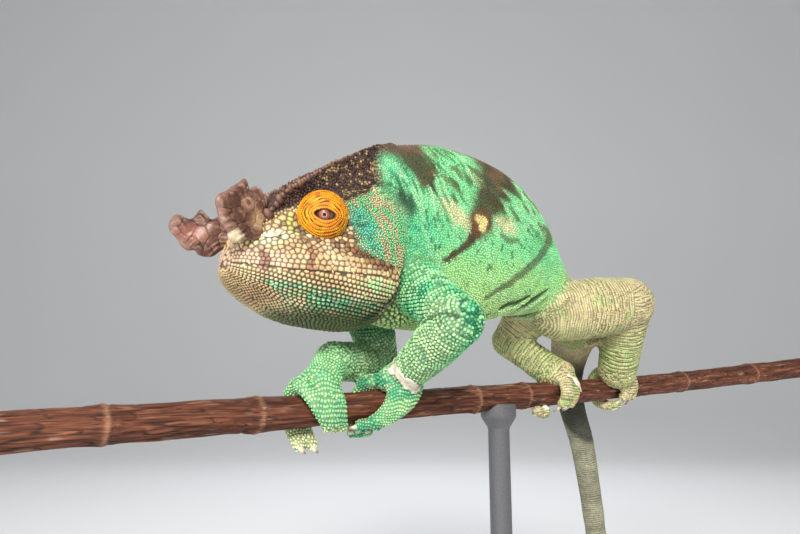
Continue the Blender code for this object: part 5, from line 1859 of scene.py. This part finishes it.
# One ring of a horn's leaf, at a share of the way from its middle to its edge, on one face
def hornRing(flat, plates, share, face):
    gaps, ribs = hornPattern(flat, plates)
    gaps.sort(axis=1)
    # Each plate bulges, with a groove where two meet
    seam = 1 - rise(gaps[:, 1] - gaps[:, 0], 0.0, 0.16)
    swell = 0.5 * mm * np.sqrt(clamp(1.15 - gaps[:, 0] ** 2)) * (0.4 + 0.6 * rise(share, 0.3, 0.8))
    relief = swell - 0.3 * mm * seam + 0.26 * mm * ribs * rise(share, 0.35, 0.8)
    half = hornForm["thickness"] * math.sqrt(max(0.0, 1 - share**5))
    wave = 0.35 * mm * np.sin(flat[:, 0] * 0.55 + flat[:, 1] * 0.4)
    return np.column_stack((flat * mm, face * (half + relief * (1 - share**8)) + wave))


def makeHorn(side):
    outline, plates = (np.array(hornForm[key][side]) for key in ("outlines", "plates"))
    middle = np.array(hornForm["middle"])
    places = np.linspace(0, len(outline), hornForm["turns"], endpoint=False)
    loop = smoothRows(np.vstack((outline, outline[:1])), places)
    shares = 1 - (1 - np.linspace(0.02, 1, hornForm["steps"])) ** 1.4
    rings = [
        hornRing(between(middle, loop, share), plates, share, face)
        for face, order in ((1, shares), (-1, shares[-2::-1])) for share in order
    ]
    root, turn = hornTurn(side)
    flatRings = np.array(rings)
    points, faces = ringMesh(root + flatRings @ turn)
    obj = meshObject(f"horn_{side}_plates", points, faces, hornMaterial)
    flat = np.vstack((flatRings.reshape(-1, 3)[:, :2] / mm, middle, middle))
    gaps, ribs = hornPattern(flat, plates)
    own, order = gaps.argmin(1), np.sort(gaps, axis=1)
    draw = np.random.default_rng(5).uniform(0, 1, len(plates))[own]
    edge = np.repeat(np.concatenate((shares, shares[-2::-1])), hornForm["turns"])
    edge = np.concatenate((edge, (0, 0)))
    reach = norm(flat - middle, axis=1)
    marks = [(tone, 0.85 * patch(flat, centre, radii)) for centre, radii, tone in hornMarks[side]]
    putColours(obj.data, layered(
        (0.082, 0.032, 0.019), ((0.14, 0.06, 0.036), draw),
        ((0.27, 0.155, 0.1), 0.6 * rise(cloud(points / mm, 1.6, 113), 0.5, 0.8)),
        # Painted shade between the ribs and in the seams between plates
        ((0.06, 0.02, 0.016), 0.55 * rise(-ribs, 0.1, 0.9)),
        ((0.04, 0.014, 0.011), 0.7 * (1 - rise(order[:, 1] - order[:, 0], 0.0, 0.2))),
        ((0.34, 0.2, 0.17), 0.4 * rise(edge, 0.8, 0.97) * rise(reach, 7, 10)), *marks,
    ))
    print("horn", side, len(obj.data.polygons))
    finishPiece(obj, "horn_brown", f"horn_{side}")


# Paler and darker plates of each horn
hornMarks = {
    "left": (
        ((9.2, -8.0), (2.6, 1.8), (0.7, 0.6, 0.42)), ((8.6, 3.6), (2.3, 2.3), (0.33, 0.19, 0.12)),
        ((8.7, 3.7), (0.8, 0.9), (0.08, 0.03, 0.02)), ((3.0, 0.5), (3.4, 3.0), (0.4, 0.27, 0.15)),
    ),
    "right": (((14.0, -1.0), (5.0, 3.0), (0.24, 0.095, 0.065)),),
}
hornMaterial = paintedFinish(
    "horn_plates", ((0.32, (0.72, 0.68, 0.66)), (0.68, (1.26, 1.24, 1.22))), (900.0, 4.0, 0.6), 0.38, 0.25,
    bump=(0.35, 0.0002), coat_weight=0.15, coat_roughness=0.25, specular_ior_level=0.5,
)
for side in ("left", "right"):
    makeHorn(side)


# Claws at the ends of the toes

def makeClaws():
    length, steps, around = toeForm["clawLength"], 12, 14
    t = np.linspace(0, 1, steps)[:, None]
    sizes = toeForm["clawRadius"] * (1.15 - 1.02 * t[:, 0] ** 1.3)
    # A tube's round end adds four rings before the first
    shares = np.repeat(np.concatenate((np.zeros(4), t[:, 0])), around)
    tone = blend((0.62, 0.56, 0.44), (0.16, 0.08, 0.045), rise(shares, 0.35, 1.0))
    parts = []
    for form in footForm.values():
        for bundle in (form["front"], form["back"]):
            # Claws bend in towards the branch, whose side the tips' angle gives
            angle = math.radians(bundle[2][1])
            inwards = np.array((0, -math.cos(angle), -math.sin(angle)))
            for middle, ahead, _, height in toeEnds(bundle):
                root = middle + ahead * height * 0.55
                spots = root + ahead * (length * t) + inwards * (length * toeForm["hook"] * t * t)
                rings = tubeRings(spots, sizes * 0.8, sizes, around, up=(1, 0, 0), roundEnds=(True, False))
                parts.append(ringMesh(rings))
    tones = ((0.3, (0.75, 0.72, 0.7)), (0.7, (1.2, 1.2, 1.2)))
    finish = paintedFinish("claw_horn", tones, (1800.0, 3.0), 0.28, 0.15, coat_weight=0.3)
    obj = meshObject("claws", *joinMeshes(parts), finish)
    putColours(obj.data, np.tile(np.vstack((tone, tone[:1], tone[-1:])), (len(parts), 1)))
    finishPiece(obj, "horn_brown")


makeClaws()
print("claws")


# The display stand: a rod under the branch and an oval base

standForm = {
    "baseLength": 0.25, "baseWidth": 0.18, "baseThickness": 0.014, "baseX": 0.048, "round": 0.005,
    "rodX": 0.062, "rodRadius": 0.0045, "saddleRadius": 0.0075, "saddleHeight": 0.007, "floor": -0.156,
    "sharp": math.radians(40),
}


def woodFinish():
    board = newFinish("stained_wood")
    warp = board.noise(1.0, 6.0, vector=board.stretched(10, 110, 110), distortion=1.2)
    pores = board.noise(1.0, 3.0, vector=board.stretched(60, 1500, 1500))
    stops = ((0.3, (0.065, 0.048, 0.036)), (0.55, (0.125, 0.098, 0.076)), (0.75, (0.195, 0.16, 0.128)))
    return closeFinish(
        board, base_color=board.ramp(stops, warp * 0.75 + pores * 0.25), roughness=0.3 + pores * 0.2,
        normal=board.bump(0.25, 0.0003, pores), coat_weight=0.25, coat_roughness=0.2,
    )


def paintFinish():
    board = newFinish("satin_black_paint")
    grain = board.noise(1400.0, 3.0)
    tone = board.ramp(((0.3, (0.075, 0.075, 0.083)), (0.7, (0.105, 0.105, 0.115))), grain)
    bump = board.bump(0.15, 0.0001, grain)
    return closeFinish(board, base_color=tone, roughness=0.34 + grain * 0.12, normal=bump)


# Rings of a profile of (radius, height), drawn out to an oval where the two stretches differ
def turnedRings(profile, around, centreX, centreY, stretchX=1.0, stretchY=1.0):
    cos, sin = np.cos(fullTurn(around)), np.sin(fullTurn(around))
    return np.array([
        np.stack((centreX + stretchX * r * cos, centreY + stretchY * r * sin, np.full(around, h)), -1)
        for r, h in profile
    ])


def standPiece(name, rings, finish, slotName, node):
    obj = meshObject(name, *ringMesh(rings), finish)
    obj.data.set_sharp_from_angle(angle=standForm["sharp"])
    finishPiece(obj, slotName, node)


def makeStand():
    form = standForm
    floor, thick, edge = form["floor"], form["baseThickness"], form["round"]
    profile = [(0.9, 0.0), (0.992, 0.0), (1.0, 0.0012), (1.0, thick - edge)]
    for lean in np.radians(np.linspace(0, 90, 9)):
        profile.append((1.0 - 0.034 * (1 - math.cos(lean)), thick - edge + edge * math.sin(lean)))
    profile += [(0.8, thick), (0.4, thick), (0.05, thick)]
    profile = [(share, floor + height) for share, height in profile]
    rings = turnedRings(profile, 160, form["baseX"], 0.0, form["baseLength"] / 2, form["baseWidth"] / 2)
    standPiece("stand_base_wood", rings, woodFinish(), "stand_base", "stand_base")
    under = branchCentre(form["rodX"])
    bottom, top = floor + thick, under[2] - branchForm["radius"]
    radius, saddle = form["rodRadius"], form["saddleRadius"]
    cup, brim = top - form["saddleHeight"], top + branchForm["radius"] * 0.55
    profile = [
        (radius * 0.4, bottom), (radius * 2.25, bottom), (radius * 2.4, bottom + 0.0008),
        (radius * 2.4, bottom + 0.0024), (radius * 2.2, bottom + 0.0031), (radius * 1.1, bottom + 0.0036),
        (radius, bottom + 0.005), (radius, cup - 0.001), (radius * 1.06, cup + 0.0002),
        (saddle * 0.93, cup + 0.0036), (saddle, cup + 0.0048), (saddle, top + branchForm["radius"] * 0.5),
        (saddle * 0.94, brim), (saddle * 0.3, brim),
    ]
    rings = turnedRings(profile, 64, under[0], under[1])
    standPiece("stand_rod_steel", rings, paintFinish(), "stand_metal", "stand_rod")


makeStand()
print("stand")
for shape, _ in scaleShapes.values():
    bpy.data.objects.remove(shape)


# Studio: a pale sweep, soft lights and the camera at the photograph's angle

studioForm = {
    "camera": (-0.24237, -0.19034, 0.16339), "heading": 40.0, "tilt": 10.29, "lens": 29.25,
    "lights": (
        # name, place, size, power, colour
        ("key", (-0.8, -0.85, 0.75), 0.3, 20.0, (1.0, 0.97, 0.9)),
        ("front", (-0.75, -0.25, 0.35), 0.5, 2.5, (1.0, 0.99, 0.97)),
        ("rim", (0.6, 0.75, 0.95), 0.6, 6.0, (0.94, 0.97, 1.0)),
    ),
    "room": (0.96, 0.97, 1.0), "roomStrength": 0.34, "sweep": (0.86, 0.87, 0.88),
    "target": (-0.06, 0.0, 0.2),
}


def plainFinish(name, colour):
    board = newFinish(name)
    stops = ((0.3, tuple(c * 0.97 for c in colour)), (0.7, colour))
    return closeFinish(board, base_color=board.ramp(stops, board.noise(1.3, 2.0)), roughness=0.85)


def makeStudio():
    form = studioForm
    # The floor runs back and curves up into the backdrop
    heading = math.radians(form["heading"])
    forward = np.array((math.sin(heading), math.cos(heading), 0))
    right = np.array((math.cos(heading), -math.sin(heading), 0))
    bend = [(1.2 + math.sin(a), 1.0 - math.cos(a)) for a in np.radians(np.linspace(6, 90, 15))]
    profile = [(-3.0, 0.0), (1.2, 0.0), *bend, (2.2, 4.0)]
    points = np.array([
        forward * along + right * side + np.array((0, 0, up - 0.0002))
        for along, up in profile for side in (-5, 5)
    ])
    faces = [(2 * k, 2 * k + 1, 2 * k + 3, 2 * k + 2) for k in range(len(profile) - 1)]
    sweep = meshObject("studio_sweep", points, faces, plainFinish("pale_paper", form["sweep"]))
    sweep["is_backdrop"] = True
    for name, place, size, power, colour in form["lights"]:
        light = bpy.data.lights.new(name, "AREA")
        light.size, light.energy, light.color = size, power, colour
        lamp = newObject(name, light)
        lamp.location = place
        lamp.rotation_euler = (Vector(form["target"]) - Vector(place)).to_track_quat("-Z", "Y").to_euler()
    world = bpy.data.worlds.new("soft_room")
    world.use_nodes = True
    room = world.node_tree.nodes["Background"].inputs
    room["Color"].default_value = (*form["room"], 1.0)
    room["Strength"].default_value = form["roomStrength"]
    bpy.context.scene.world = world
    camera = bpy.data.cameras.new("camera")
    camera.lens = form["lens"]
    camera.sensor_width = 36.0
    camera.clip_start = 0.01
    eye = newObject("camera", camera)
    eye.location = form["camera"]
    eye.rotation_euler = (math.radians(90 + form["tilt"]), 0, -heading)
    bpy.context.scene.camera = eye
    bpy.context.scene.view_settings.view_transform = "Standard"


makeStudio()
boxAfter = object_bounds()
for box in (boxBefore, boxAfter):
    print("box", [round((b - a) * 1000, 1) for a, b in zip(*box)])
